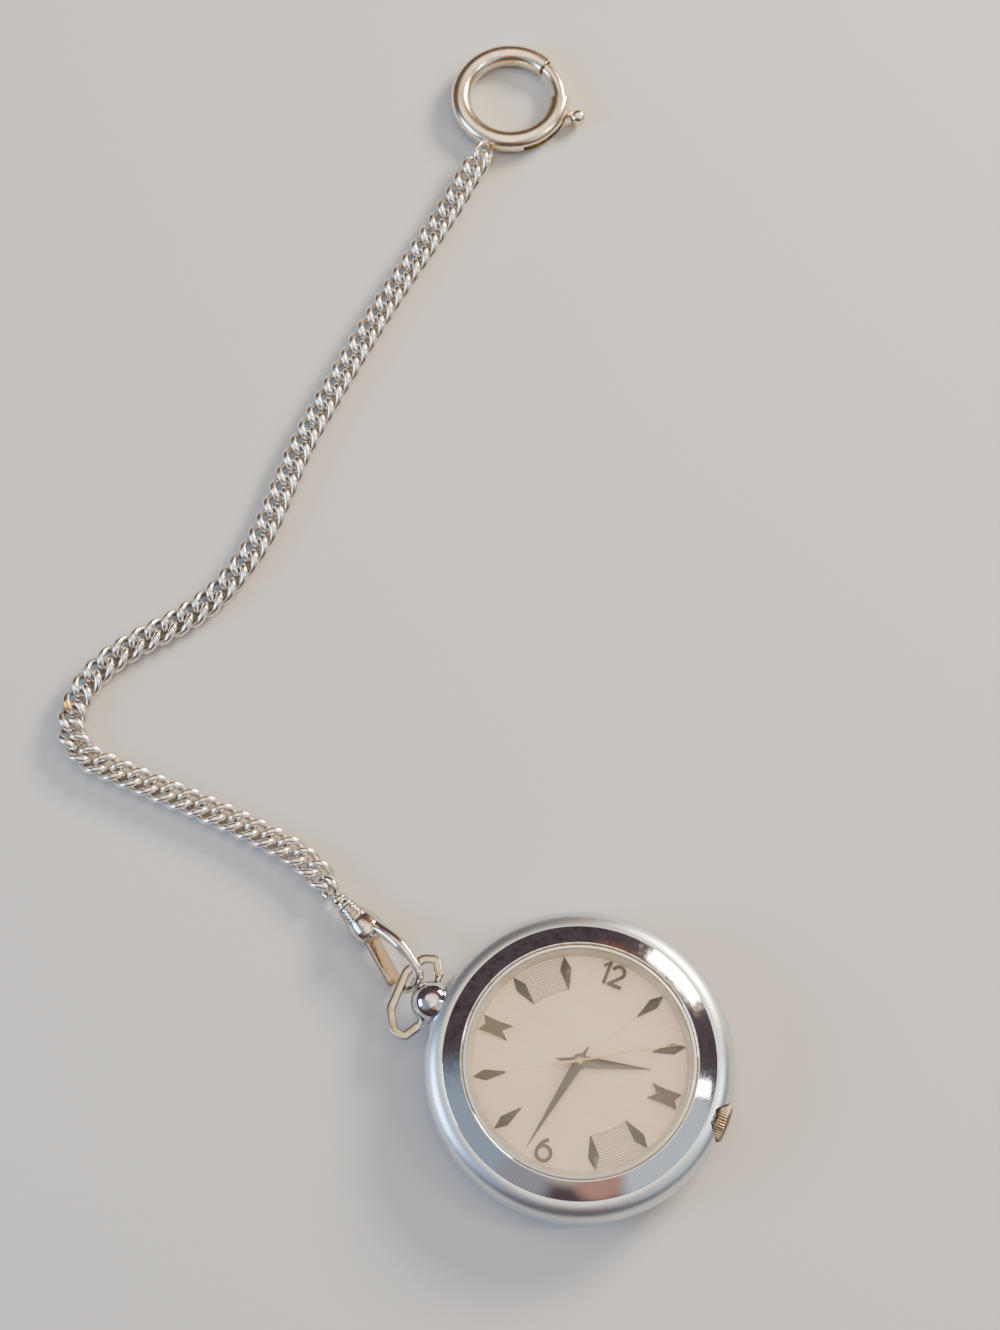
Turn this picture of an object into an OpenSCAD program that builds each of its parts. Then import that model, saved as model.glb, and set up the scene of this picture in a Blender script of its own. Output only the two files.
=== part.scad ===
// Pendant watch with its curb chain, swivel clasp and spring ring, lying on a table.
// Millimetres. The origin is the centre of the flat case back, +Z goes up through the
// crystal, +Y points to 12 o'clock and +X to the crown at 3 o'clock.

/* [Case] */
// Diameter of the case over its rounded edge
case_d = 40; // [38:0.5:42]
// Radius of the rounded case edge
edge_r = 2.9; // [2.7:0.1:3]
// Height of the widest line of the case above the table
edge_z = 4.2; // [4.1:0.1:4.3]
// Width of the polished sloping bezel
bezel_w = 2.6; // [2.4:0.1:2.8]
// Rise of the bezel from its outer to its inner edge
bezel_rise = 1.1; // [0.8:0.1:1.3]
// Height of the top of the crystal above the table
crystal_top = 10; // [9.6:0.1:10.4]

/* [Dial] */
// Thickness of the dial plate
dial_t = 0.3; // [0.2:0.05:0.35]
// Length of the hour darts
marker_l = 4.2; // [3.8:0.1:4.4]
// Distance from the dial centre to the middle of an hour dart
marker_mid = 11.5; // [11.3:0.1:11.6]
// Width of a dart
dart_w = 1.45; // [1.2:0.05:1.7]
// Length of the notched bars at 3 and 9
bar_l = 4; // [3.8:0.1:4.2]
// Width of the notched bars at 3 and 9
bar_w = 2; // [1.8:0.1:2.2]
// Height of the numerals 12 and 6
numeral_h = 3; // [2.9:0.05:3.1]
// Width of the strokes of the numerals
stroke_w = 0.5; // [0.4:0.05:0.5]
// Angle of the hour hand, clockwise from 12
hour_angle = 74.5; // [0:0.5:360]
// Angle of the minute hand, clockwise from 12
minute_angle = 190; // [0:360]
// Angle of the second hand, clockwise from 12
second_angle = 59; // [0:360]

/* [Crown and bow] */
// Diameter of the crown
crown_d = 4.9; // [4.6:0.1:5]
// Thickness of the crown
crown_t = 1.9; // [1.7:0.1:2]
// Diameter of the ball shaped pendant
pendant_d = 5.7; // [5.5:0.1:5.9]
// Width of the flat strip that the bow is bent from
strip_w = 1.05; // [1:0.05:1.1]
// Thickness of the strip
strip_t = 0.85; // [0.8:0.05:0.85]
// Angle by which the bow hangs down from level
bow_droop = 14; // [13:15]

/* [Clasp] */
// Largest diameter of the turned collar
collar_d = 4.4; // [4.3:0.05:4.5]
// Diameter of the hook's round bar
hook_d = 1.75; // [1.7:0.05:1.8]
// Diameter of the hook where it passes the bow
neck_d = 1.1; // [1.05:0.05:1.15]
// Radius of the hook's nose, measured to the middle of the bar
nose_r = 1.15; // [1.1:0.05:1.2]
// Width of the flat gate
gate_w = 2.5; // [2.4:0.05:2.5]
// Thickness of the gate
gate_t = 0.65; // [0.6:0.05:0.7]
// Angle between the plane of the hook and the table
clasp_lean = 45; // [44:46]
// Angle by which the clasp rises from the chain to the bow
clasp_rise = 7; // [7:8]

/* [Chain] */
// Outer width of a curb link
link_w = 4; // [3.96:0.02:4]
// Outer length of a curb link
link_l = 4.8; // [4.78:0.02:4.8]
// Diameter of the link wire
link_wire = 0.9; // [0.86:0.01:0.9]
// Twist of a link from its middle to either end
link_twist = 56; // [55:57]
// Number of curb links
links = 59; // [59:1:59]

/* [Spring ring] */
// Outer diameter of the ring
ring_d = 17.8; // [17.7:0.1:17.9]
// Diameter of the ring's tube
tube_d = 3.1; // [3.05:0.05:3.15]
// Diameter of the sliding bolt
bolt_d = 2.1; // [2:0.05:2.1]
// Diameter of the ball that moves the bolt
knob_d = 2.4; // [2.2:0.1:2.4]

/* [Hidden] */
$fn = 96;
steel = [0.80, 0.81, 0.82];
satin = [0.66, 0.70, 0.74];
dark_steel = [0.20, 0.19, 0.19];
small_gap = 0.05;    // between fixed pieces that are fitted together
running = 0.08;      // between a pin and its hole

// heights of the case, from the table up
case_r = case_d / 2;
edge_x = case_r - edge_r;
case_top = edge_z + edge_r;
back_t = edge_z - edge_r - small_gap;
back_flat_r = 12.5;
back_r = 16.6;
cavity_r = 14.6;
seat_z = case_top - 0.25;
bezel_out_r = case_r - 2.5;
bezel_in_r = bezel_out_r - bezel_w;
bezel_lip = 0.2;
crystal_r = bezel_in_r - small_gap;
crystal_t = 0.55;
crystal_wall_top = case_top + bezel_lip + bezel_rise;
crystal_rise = crystal_top - crystal_wall_top;
dome_r = (pow(crystal_r, 2) + pow(crystal_rise, 2)) / (2 * crystal_rise);
dial_z = 6.35;
dial_r = 14.3;
dial_hole_r = 0.95;
ring_out_r = crystal_r - crystal_t - small_gap;
ring_bed_r = 13.75;

// hands, stacked above the dial
hour_z = dial_z + dial_t + 0.55;
minute_z = hour_z + 0.4;
second_z = minute_z + 0.4;
hand_t = 0.15;
hour_l = 9.2;
minute_l = 13;
second_l = 12.9;
numeral_mid = marker_mid + 0.5;

// crown in its notch
notch_r = crown_d / 2 + 0.45;
notch_x = 18.1;
crown_x = 18.45;
stem_r = 0.6;
stem_in_x = 14.1;
stem_play = 0.1;

// pendant and bow
ball_x = -case_r - 0.5;
ball_y = 0.4;        // the pendant sits a little off the line through the crown
ball_r = pendant_d / 2;
pivot_x = ball_x - 0.5;
pivot_r = 0.42;
pivot_in_y = 1.9;
pivot_out_y = 3.3;
bow_half = [[0, 3.5], [1.2, 5.45], [2.9, 5], [4.4, 2.65]];

// clasp, in its own axes: x along the shank to the nose, y from the gate to the spine
clasp_at = [-32.82, 6.62, 2.5];
clasp_turn = -25;
spine_root = [0.8, 1.2];
spine_rise = 15;
spine_l = 1.95;
spine_r = 12;
spine_crest = 8;
spine_fall = 14;
nose_sweep = 66;
mouth_r = 8;
mouth_sweep = 18;
curl_r = 2;
curl_sweep = 52;
run_in = 0.3;        // how far a piece of the hook starts inside the one before it
thin_d = hook_d - 0.08;
fall_d = neck_d + 0.22;
nose_d = neck_d + 0.12;
tip_d = neck_d - 0.15;
hinge_at = [1.5, -0.65];
hinge_r = 0.3;
barrel_r = 0.7;
gate_tip = 8.15;
gate_drop = -2.85;
slot_half = gate_w / 2 + 0.1;
shank_r = 0.6;
eye_x = -7.3;
eye_r = 1.37;
eye_wire = 0.9;
eye_turn = 55 - clasp_lean;

// chain route over the table, from the spring ring to the clasp
route = [[-62.3, 127], [-62.4, 120.8], [-63.1, 114], [-64.1, 106], [-65.6, 96], [-66.6, 88],
    [-67.5, 79], [-68.1, 72], [-68.4, 66], [-68.2, 60], [-68, 54], [-68.5, 48.6],
    [-70.1, 42.4], [-72.9, 37.2], [-76.6, 32.4], [-79.6, 28], [-81.2, 23.6], [-81.3, 19.6],
    [-79.8, 15.9], [-76.4, 14], [-72.2, 13.75], [-66, 13.6], [-59.8, 13.5], [-53.8, 13.25],
    [-48.2, 12.75], [-44.3, 12.05], [-40.4, 10.4], [-36.2, 7.7], [-32, 4.9]];
first_link = 3.2;
last_link = 148.8;
// the links lie flat and turn a little about the route on the way from the ring to the clasp
first_roll = 10;
last_roll = -10;
// height of the route above the table where the lug and the eye hold the end links up
lift_by_run = [[0, 0.8], [1.6, 0.8], [11, 0], [135, 0], [150.3, 0.25], [160, 0.25]];
wire_sides = 6;
link_steps = 12;
table_gap = 0.03;

// spring ring
ring_at = [-62.3, 130, tube_d / 2 + 0.02];
tube_mid_r = (ring_d - tube_d) / 2;
tube_bore_r = bolt_d / 2 + 0.1;
mouth_a = 20;
mouth_b = 67;
knob_a = 4;
bolt_travel = 55;
bolt_tip_a = mouth_b + 5;
knob_neck_r = 0.4;
knob_at_r = ring_d / 2 + 1.45;
bead_r = 0.7;
bead_at_r = ring_d / 2 + 0.65;
lug_a = -90;
lug_r = 1.6;
lug_wire = 0.85;
lug_lean = 125;
lug_at_r = ring_d / 2 + lug_r;
lug_z = 0.5;

// A ring with a round section, turned about Z
module torus(r, wire) {
    rotate_extrude() translate([r, 0]) circle(d = wire);
}

// The outside of the case: straight ring with a rounded edge
module case_outline(grow = 0) {
    translate([edge_x, edge_z]) circle(r = edge_r + grow);
    translate([0, edge_z - edge_r - grow]) square([edge_x, 2 * (edge_r + grow)]);
}

module case_middle() {
    color(satin) difference() {
        rotate_extrude() difference() {
            case_outline();
            square([cavity_r, case_top + 1]);
            translate([0, seat_z]) square([bezel_in_r + small_gap, 1]);
        }
        // notch for the crown and the hole for its stem
        translate([notch_x, 0, edge_z]) rotate([0, 90, 0]) cylinder(r = notch_r, h = 3);
        translate([cavity_r - 1, 0, edge_z]) rotate([0, 90, 0])
            cylinder(r = stem_r + running, h = notch_x - cavity_r + 2);
        // hole for the tenon of the pendant
        translate([-case_r - 1, ball_y, edge_z]) rotate([0, 90, 0])
            cylinder(r = 1.2 + small_gap, h = 3.6);
    }
}

module case_back() {
    color(satin) rotate_extrude() polygon([[0, 0], [back_flat_r, 0], [back_r - 0.5, back_t - 0.5],
        [back_r, back_t - 0.3], [back_r, back_t], [0, back_t]]);
}

module bezel() {
    z = case_top + small_gap;
    color(steel) rotate_extrude() polygon([[bezel_in_r + small_gap, z], [bezel_out_r, z],
        [bezel_out_r, z + bezel_lip], [bezel_in_r + 0.15, z + bezel_lip + bezel_rise],
        [bezel_in_r + small_gap, z + bezel_lip + bezel_rise - 0.1]]);
}

// Half section of a domed glass of the given radius, standing on the line y = 0
module dome_half(r, wall) {
    sphere_r = dome_r + r - crystal_r;
    intersection() {
        translate([0, crystal_top - dome_r - seat_z - small_gap]) circle(r = sphere_r, $fn = 240);
        square([r, wall + 10]);
    }
}

module crystal() {
    color([0.9, 0.93, 0.95, 0.35]) translate([0, 0, seat_z + small_gap]) rotate_extrude()
        difference() {
            dome_half(crystal_r, 0);
            translate([0, -1]) square([crystal_r - crystal_t, 1.5]);
            dome_half(crystal_r - crystal_t, 0);
        }
}

module dial_ring() {
    z = seat_z + small_gap;
    color([0.86, 0.78, 0.62]) rotate_extrude()
        polygon([[ring_bed_r, z], [ring_out_r, z], [ring_out_r, z + 0.95], [ring_out_r - 0.15, z + 0.95]]);
}

module dial() {
    color([0.90, 0.86, 0.78]) translate([0, 0, dial_z]) difference() {
        cylinder(r = dial_r, h = dial_t);
        translate([0, 0, -1]) cylinder(r = dial_hole_r, h = 3);
    }
}

module movement() {
    color([0.75, 0.68, 0.5]) difference() {
        translate([0, 0, back_t + 0.3])
            cylinder(r = cavity_r - 0.2, h = dial_z - small_gap - back_t - 0.3);
        translate([0, 0, dial_z - 2.5]) cylinder(r = dial_hole_r, h = 4);
        translate([stem_in_x - 1, 0, edge_z]) rotate([0, 90, 0])
            cylinder(r = stem_r + running, h = 4);
    }
}

// Places a marker at its hour, with its local +Y pointing out from the dial centre
module at_hour(hour) {
    rotate([0, 0, -30 * hour]) translate([0, marker_mid, dial_z + dial_t + small_gap]) children();
}

// A slim roofed dart: a kite with its broad part outside and a ridge along the middle
module dart() {
    out_y = marker_l / 2;
    broad_y = out_y - marker_l * 0.36;
    base_h = 0.15;
    ridge_h = 0.42;
    foot = [[0, -out_y], [dart_w / 2, broad_y], [0, out_y], [-dart_w / 2, broad_y]];
    points = concat([for (p = foot) [p.x, p.y, 0]], [for (p = foot) [p.x, p.y, base_h]],
        [[0, broad_y, ridge_h]]);
    color(dark_steel) polyhedron(points, [[3, 2, 1, 0], [0, 1, 5, 4], [1, 2, 6, 5], [2, 3, 7, 6],
        [3, 0, 4, 7], [4, 5, 8], [5, 6, 8], [6, 7, 8], [7, 4, 8]]);
}

// A broad bar with a swallow tail notch at each end, the deeper one towards the centre
module notched_bar() {
    out_y = bar_l / 2;
    waist = bar_w / 2 - 0.1;
    color(dark_steel) linear_extrude(0.4) polygon([[-bar_w / 2, out_y], [0, out_y - 0.6],
        [bar_w / 2, out_y], [waist, 0], [bar_w / 2, -out_y], [0, -out_y + 1.1],
        [-bar_w / 2, -out_y], [-waist, 0]]);
}

// Part of a flat ring from angle a to angle b
module arc_band(r, w, a, b) {
    n = 24;
    polygon(concat([for (i = [0:n]) let (t = a + (b - a) * i / n) (r + w / 2) * [cos(t), sin(t)]],
        [for (i = [n:-1:0]) let (t = a + (b - a) * i / n) (r - w / 2) * [cos(t), sin(t)]]));
}

module digit_1(h, w) {
    square([w, h]);
    polygon([[0.02, h], [-0.6, h - 0.6], [-0.6, h - 1.1], [0.02, h - 0.6]]);
}

module digit_2(h, w) {
    r = 0.75;
    translate([r, h - r - w / 2]) arc_band(r, w, -38, 172);
    polygon([[r + (r + w / 2) * cos(-38), h - r - w / 2 + (r + w / 2) * sin(-38)],
        [r + (r - w / 2) * cos(-38), h - r - w / 2 + (r - w / 2) * sin(-38)],
        [-0.15, w * 0.6], [-0.15, 0], [0.3, 0]]);
    translate([-0.15, 0]) square([2 * r + 0.45, w]);
}

module digit_6(w) {
    r = 0.93;
    long_r = 2.2;
    difference() {
        circle(r = r + w / 2);
        circle(r = r - w / 2);
    }
    translate([long_r - r, 0]) arc_band(long_r, w, 124, 180);
}

module numeral_12() {
    color(dark_steel) translate([-1.15, numeral_mid - numeral_h / 2, dial_z + dial_t + small_gap])
        linear_extrude(0.3) {
            digit_1(numeral_h, stroke_w);
            translate([0.85, 0]) digit_2(numeral_h, stroke_w);
        }
}

module numeral_6() {
    color(dark_steel) translate([0, -numeral_mid - numeral_h / 2 + 1.18, dial_z + dial_t + small_gap])
        linear_extrude(0.3) digit_6(stroke_w);
}

// A dauphine hand with a pointed tail and a pipe that turns in the dial hole
module hand(l, tail, w, z, pipe_r, bore_r, hub_r) {
    translate([0, 0, z]) difference() {
        union() {
            linear_extrude(hand_t) polygon([[0, l], [-w / 2, 0.9], [0, -tail], [w / 2, 0.9]]);
            cylinder(r = hub_r, h = hand_t + 0.08);
            translate([0, 0, dial_z - z - 0.2]) cylinder(r = pipe_r, h = z + 0.2 - dial_z);
        }
        translate([0, 0, -3]) cylinder(r = bore_r, h = 6);
    }
}

module hour_hand() {
    color(dark_steel) rotate(-hour_angle) hand(hour_l, 3.1, 1.5, hour_z, 0.85, 0.68, 1.05);
}

module minute_hand() {
    color(dark_steel) rotate(-minute_angle) hand(minute_l, 2.2, 1.3, minute_z, 0.58, 0.38, 0.9);
}

module second_hand() {
    color(dark_steel) rotate(-second_angle) translate([0, 0, second_z]) {
        linear_extrude(hand_t) polygon([[-0.14, -3.4], [0.14, -3.4], [0.05, second_l], [-0.05, second_l]]);
        cylinder(r = 0.5, h = hand_t + 0.08);
        translate([0, 0, dial_z - second_z - 0.4]) cylinder(r = 0.28, h = second_z + 0.4 - dial_z);
    }
}

module crown_stem() {
    color(steel) translate([stem_in_x, 0, edge_z]) rotate([0, 90, 0])
        cylinder(r = stem_r, h = crown_x - stem_in_x - stem_play);
}

module crown() {
    teeth = 36;
    groove = 0.13;
    color([0.62, 0.52, 0.38]) translate([crown_x, 0, edge_z]) rotate([0, 90, 0]) difference() {
        rotate_extrude() polygon([[0, 0], [crown_d / 2 - 0.2, 0], [crown_d / 2, 0.2],
            [crown_d / 2, crown_t - 0.35], [crown_d / 2 - 0.35, crown_t], [0, crown_t]]);
        for (i = [0:teeth - 1]) rotate(360 * i / teeth) translate([crown_d / 2 + 0.04, 0, -1])
            rotate(45) cube([groove, groove, 8], center = true);
    }
}

module pendant() {
    color(steel) difference() {
        union() {
            difference() {
                translate([ball_x, ball_y, edge_z]) sphere(r = ball_r);
                rotate_extrude() case_outline(small_gap);
            }
            translate([-case_r + 1.2, ball_y, edge_z]) rotate([0, -90, 0])
                cylinder(r = 1.2, h = 2);
        }
        for (side = [-1, 1]) translate([pivot_x, ball_y + side * (ball_r + 0.5), edge_z])
            rotate([side * 90, 0, 0]) cylinder(r = pivot_r + running, h = ball_r + 0.5 - pivot_in_y + 0.1);
    }
}

// Unit vector along b - a, and its left hand normal
function way(a, b) = (b - a) / norm(b - a);
function left(v) = [-v.y, v.x];
// Corner i of a line of points moved sideways by d, with mitred corners
function mitre(p, i, d) =
    let (a = left(way(p[max(i - 1, 0)], p[max(i, 1)])),
         b = left(way(p[min(i, len(p) - 2)], p[min(i + 1, len(p) - 1)])))
    p[i] + d * (a + b) / (1 + a * b);

module bow() {
    side = [for (p = bow_half) [-p.x, p.y]];
    line = concat([for (p = side) p], [for (i = [len(side) - 1:-1:0]) [side[i].x, -side[i].y]]);
    last = len(line) - 1;
    color(steel) translate([pivot_x, ball_y, edge_z]) rotate([0, -bow_droop, 0]) {
        translate([0, 0, -strip_t / 2]) linear_extrude(strip_t)
            polygon(concat([for (i = [0:last]) mitre(line, i, strip_w / 2)],
                [for (i = [last:-1:0]) mitre(line, i, -strip_w / 2)]));
        for (s = [-1, 1]) translate([0, s * pivot_in_y, 0]) rotate([-s * 90, 0, 0])
            cylinder(r = pivot_r, h = pivot_out_y - pivot_in_y + 0.3);
    }
}

// Places a piece of the clasp on the table, from the clasp's own axes
module on_clasp() {
    translate(clasp_at) rotate([0, 0, clasp_turn]) rotate([0, -clasp_rise, 0])
        rotate([clasp_lean, 0, 0]) children();
}

// A straight piece of bar along +X, run a little into what it joins; children start at its end
module bar(l) {
    translate([-run_in, 0, 0]) rotate([0, 90, 0]) cylinder(d = thin_d, h = l + 2 * run_in);
    translate([l, 0, 0]) children();
}

// A piece of bar that sets out along +X and bends to the right; children start at its end
module bend(r, sweep, d) {
    translate([0, -r, 0]) {
        rotate(90 - sweep) rotate_extrude(angle = sweep) translate([r, 0]) circle(d = d);
        rotate(-sweep) translate([0, r, 0]) children();
    }
}

module swivel_hook() {
    color(steel) on_clasp() difference() {
        union() {
            rotate([0, 90, 0]) rotate_extrude() polygon([[0, -3.4], [1.25, -3.4], [1.4, -3.2],
                [1.4, -2.9], [1.2, -2.75], [1.2, -2.6], [1.55, -2.4], [1.55, -2.1], [1.4, -2],
                [1.9, -1.3], [collar_d / 2 - 0.1, -0.4], [collar_d / 2, 0.3], [collar_d / 2, 1],
                [1.9, 1.8], [1.3, 2.2], [0, 2.2]]);
            translate(spine_root) rotate(spine_rise) bar(spine_l)
                bend(spine_r, spine_rise + spine_crest, hook_d) translate([-run_in, 0, 0])
                bend(spine_r, spine_fall, fall_d) translate([-run_in, 0, 0])
                bend(nose_r, nose_sweep, nose_d) translate([-run_in, 0, 0])
                bend(mouth_r, mouth_sweep, neck_d) translate([-run_in, 0, 0])
                bend(curl_r, curl_sweep, tip_d);
        }
        // bore for the shank and slot for the gate
        translate([-4, 0, 0]) rotate([0, 90, 0]) cylinder(r = shank_r + running, h = 3.4);
        difference() {
            translate([0.6, -4, -slot_half]) cube([4, 4.2, 2 * slot_half]);
            translate(hinge_at) cylinder(r = hinge_r, h = 4, center = true);
        }
    }
}

module swivel_gate() {
    run = [gate_tip, gate_drop] - hinge_at;
    color(steel) on_clasp() translate(hinge_at) difference() {
        union() {
            cylinder(r = barrel_r, h = gate_w, center = true);
            rotate(atan2(run.y, run.x)) translate([0, -gate_t / 2, -gate_w / 2])
                cube([norm(run), gate_t, gate_w]);
        }
        cylinder(r = hinge_r + running, h = 4, center = true);
    }
}

module swivel_eye() {
    color(steel) on_clasp() {
        rotate([0, 90, 0]) rotate_extrude() polygon([[0, eye_x + eye_r], [0.8, eye_x + eye_r + 0.15],
            [0.95, -5.4], [1.2, -5.1], [1.2, -4.7], [0.95, -4.4], [1, -4], [1.3, -3.8],
            [1.3, -3.5], [shank_r, -3.5], [shank_r, -0.8], [0, -0.8]]);
        translate([eye_x, 0, 0]) rotate([eye_turn, 0, 0]) torus(eye_r, eye_wire);
    }
}

// Catmull-Rom curve between points i and i + 1 of the route
function curve(p, i, t) = 0.5 * (2 * p[i] + (p[i + 1] - p[i - 1]) * t
    + (2 * p[i - 1] - 5 * p[i] + 4 * p[i + 1] - p[i + 2]) * t * t
    + (3 * p[i] - p[i - 1] - 3 * p[i + 1] + p[i + 2]) * t * t * t);
curve_steps = 12;
fine = [for (i = [1:len(route) - 3], k = [0:curve_steps - 1]) curve(route, i, k / curve_steps)];
run_to = [for (i = 0, s = 0; i < len(fine); s = s + (i + 1 < len(fine) ? norm(fine[i + 1] - fine[i]) : 0),
    i = i + 1) s];
x_by_run = [for (i = [0:len(fine) - 1]) [run_to[i], fine[i].x]];
y_by_run = [for (i = [0:len(fine) - 1]) [run_to[i], fine[i].y]];
function place(s) = [lookup(s, x_by_run), lookup(s, y_by_run)];
function heading(s) = let (d = place(s + 1.2) - place(s - 1.2)) atan2(d.y, d.x);

// Middle line of a curb link: an ellipse whose plane turns from one end to the other
function link_line(roll) = [for (i = [0:link_steps - 1])
    let (t = 360 * (i + 0.5) / link_steps, x = (link_l - link_wire) / 2 * cos(t),
         y = (link_w - link_wire) / 2 * sin(t), turn = roll - link_twist * cos(t))
    [x, y * cos(turn), y * sin(turn)]];
// Corners of the wire's sections, six round each point of the middle line
function wire_points(line) = [for (i = [0:link_steps - 1])
    let (t = line[(i + 1) % link_steps] - line[(i + link_steps - 1) % link_steps],
         n = cross(t, line[i]), side = n / norm(n), out = cross(side, t) / norm(t))
    for (j = [0:wire_sides - 1]) let (a = 360 * (j + 0.5) / wire_sides)
        line[i] + link_wire / 2 * (cos(a) * out + sin(a) * side)];
wire_faces = [for (i = [0:link_steps - 1], j = [0:wire_sides - 1])
    let (a = i * wire_sides + j, b = i * wire_sides + (j + 1) % wire_sides,
         c = ((i + 1) % link_steps) * wire_sides + (j + 1) % wire_sides,
         d = ((i + 1) % link_steps) * wire_sides + j)
    for (face = [[a, b, c], [a, c, d]]) face];

function roll(s) = first_roll + (last_roll - first_roll) * (s - first_link) / (last_link - first_link);

module curb_link(s) {
    points = wire_points(link_line(roll(s)));
    low = min([for (p = points) p.z]);
    lifted = [for (p = points) [p.x, p.y, p.z + table_gap - low + lookup(s + p.x, lift_by_run)]];
    translate([place(s).x, place(s).y, 0]) rotate(heading(s))
        polyhedron(lifted, wire_faces, convexity = 4);
}

module chain() {
    color(steel) for (i = [0:links - 1])
        curb_link(first_link + (last_link - first_link) * i / (links - 1));
}

// Part of a round tube or rod, bent round the ring's centre from angle a to angle b
module ring_bar(d, a, b) {
    rotate(a) rotate_extrude(angle = b - a) translate([tube_mid_r, 0]) circle(d = d);
}

module spring_ring() {
    color(steel) translate(ring_at) difference() {
        union() {
            ring_bar(tube_d, mouth_b, mouth_a + 360);
            rotate(lug_a) translate([lug_at_r, 0, lug_z]) rotate([lug_lean, 0, 0]) torus(lug_r, lug_wire);
        }
        ring_bar(2 * tube_bore_r, mouth_b - 1, mouth_a + 361);
        // slot that the ball's neck slides in
        rotate(knob_a - bolt_travel - 4) rotate_extrude(angle = bolt_travel + 8)
            translate([tube_mid_r + 0.5, -knob_neck_r - 0.1]) square([2, 2 * knob_neck_r + 0.2]);
    }
}

module spring_bolt() {
    color(steel) translate(ring_at) union() {
        ring_bar(bolt_d, knob_a - 8, bolt_tip_a);
        rotate(knob_a) {
            translate([tube_mid_r, 0, 0]) rotate([0, 90, 0])
                cylinder(r = knob_neck_r, h = knob_at_r - tube_mid_r);
            translate([bead_at_r, 0, 0]) sphere(r = bead_r);
            translate([knob_at_r, 0, 0]) sphere(d = knob_d);
        }
    }
}

module marker_1() { at_hour(1) dart(); }
module marker_2() { at_hour(2) dart(); }
module marker_3() { at_hour(3) notched_bar(); }
module marker_4() { at_hour(4) dart(); }
module marker_5() { at_hour(5) dart(); }
module marker_7() { at_hour(7) dart(); }
module marker_8() { at_hour(8) dart(); }
module marker_9() { at_hour(9) notched_bar(); }
module marker_10() { at_hour(10) dart(); }
module marker_11() { at_hour(11) dart(); }

case_middle();
case_back();
bezel();
crystal();
dial_ring();
dial();
movement();
marker_1();
marker_2();
marker_3();
marker_4();
marker_5();
numeral_6();
marker_7();
marker_8();
marker_9();
marker_10();
marker_11();
numeral_12();
hour_hand();
minute_hand();
second_hand();
crown_stem();
crown();
pendant();
bow();
swivel_hook();
swivel_gate();
swivel_eye();
chain();
spring_ring();
spring_bolt();
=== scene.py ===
# A pendant watch with its curb chain, swivel clasp and spring ring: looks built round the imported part.
# Numbers in the dictionaries are millimetres in the row frame: +Z up, +Y to 12 o'clock, +X to the crown.
import math

import bmesh
import bpy
import numpy as np
from mathutils import Matrix


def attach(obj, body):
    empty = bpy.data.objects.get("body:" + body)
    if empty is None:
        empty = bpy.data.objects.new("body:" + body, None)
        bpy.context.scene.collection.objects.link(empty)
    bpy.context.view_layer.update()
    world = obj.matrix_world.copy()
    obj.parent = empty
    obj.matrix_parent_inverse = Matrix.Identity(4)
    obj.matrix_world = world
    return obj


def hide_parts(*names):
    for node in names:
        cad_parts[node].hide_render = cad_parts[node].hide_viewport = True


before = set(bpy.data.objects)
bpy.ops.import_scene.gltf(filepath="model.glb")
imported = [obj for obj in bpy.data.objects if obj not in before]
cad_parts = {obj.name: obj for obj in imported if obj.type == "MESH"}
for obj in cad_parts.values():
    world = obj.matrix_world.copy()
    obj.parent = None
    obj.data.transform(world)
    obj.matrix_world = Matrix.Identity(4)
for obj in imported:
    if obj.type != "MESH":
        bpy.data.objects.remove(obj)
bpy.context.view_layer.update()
mm = 0.001
up = np.array([0.0, 0.0, 1.0])
print("frame loaded")

# The camera looks almost straight down, with 12 o'clock turned clockwise from the top of the picture
camera = {"place": (9.8, -50.76, 311.48), "turn": 22.2, "tilt": 18.84, "lens": 64.96}


def placeCamera(place, turn, tilt, lens):
    a, t = math.radians(turn), math.radians(tilt)
    ahead = np.array([-math.sin(a), math.cos(a), 0.0])
    right = np.array([math.cos(a), math.sin(a), 0.0])
    axes = np.stack([right, ahead * math.cos(t) + up * math.sin(t), up * math.cos(t) - ahead * math.sin(t)], 1)
    lensData = bpy.data.cameras.new("viewLens")
    lensData.lens, lensData.sensor_width = lens, 36
    lensData.clip_start, lensData.clip_end = 0.01, 10
    viewCamera = bpy.data.objects.new("viewCamera", lensData)
    viewCamera.matrix_world = Matrix.Translation(np.array(place) * mm) @ Matrix(axes.tolist()).to_4x4()
    bpy.context.collection.objects.link(viewCamera)
    bpy.context.scene.camera = viewCamera


placeCamera(**camera)

# Soft panels round the table: bearing from +X and height in degrees as seen from the aim, distance, size,
# power in watts and tint. All hang low enough that the domed crystal mirrors none of them over the dial.
# The room behind them is dim, with soft patches of wall and ceiling for the polished metal to mirror:
# bearing and height of each patch, the angles from its middle where it is full and where it ends, and tint
studio = {
    "sidePanel": {"bearing": 16, "height": 43, "away": 640, "size": (60, 200), "watts": 1.0, "tint": "#F4F6FF"},
    "windowPanel": {"bearing": 212, "height": 24, "away": 640, "size": (300, 180), "watts": 4.6, "tint": "#ABCEFF"},
    "backPanel": {"bearing": 66, "height": 26, "away": 680, "size": (260, 180), "watts": 12.0, "tint": "#FFECD0"},
    "aim": (-30, 40, 0),
    "room": {"wall": "#3D3537", "strength": 2.5, "patches": [
        (0, 90, 14, 44, "#FFF0DA"), (95, 42, 2, 14, "#6E4434"), (-12, 42, 18, 28, "#979EA4"),
        (-54, 50, 4, 12, "#8A6657"), (228, 44, 14, 34, "#6E7984"), (262, 45, 4, 14, "#706C70"),
        (168, 62, 6, 16, "#FFE9C4")]},
    "floor": {"reach": 4500, "below": 0.02, "tint": "#B3B1AE", "shade": "#ADABA8"},
}


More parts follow.
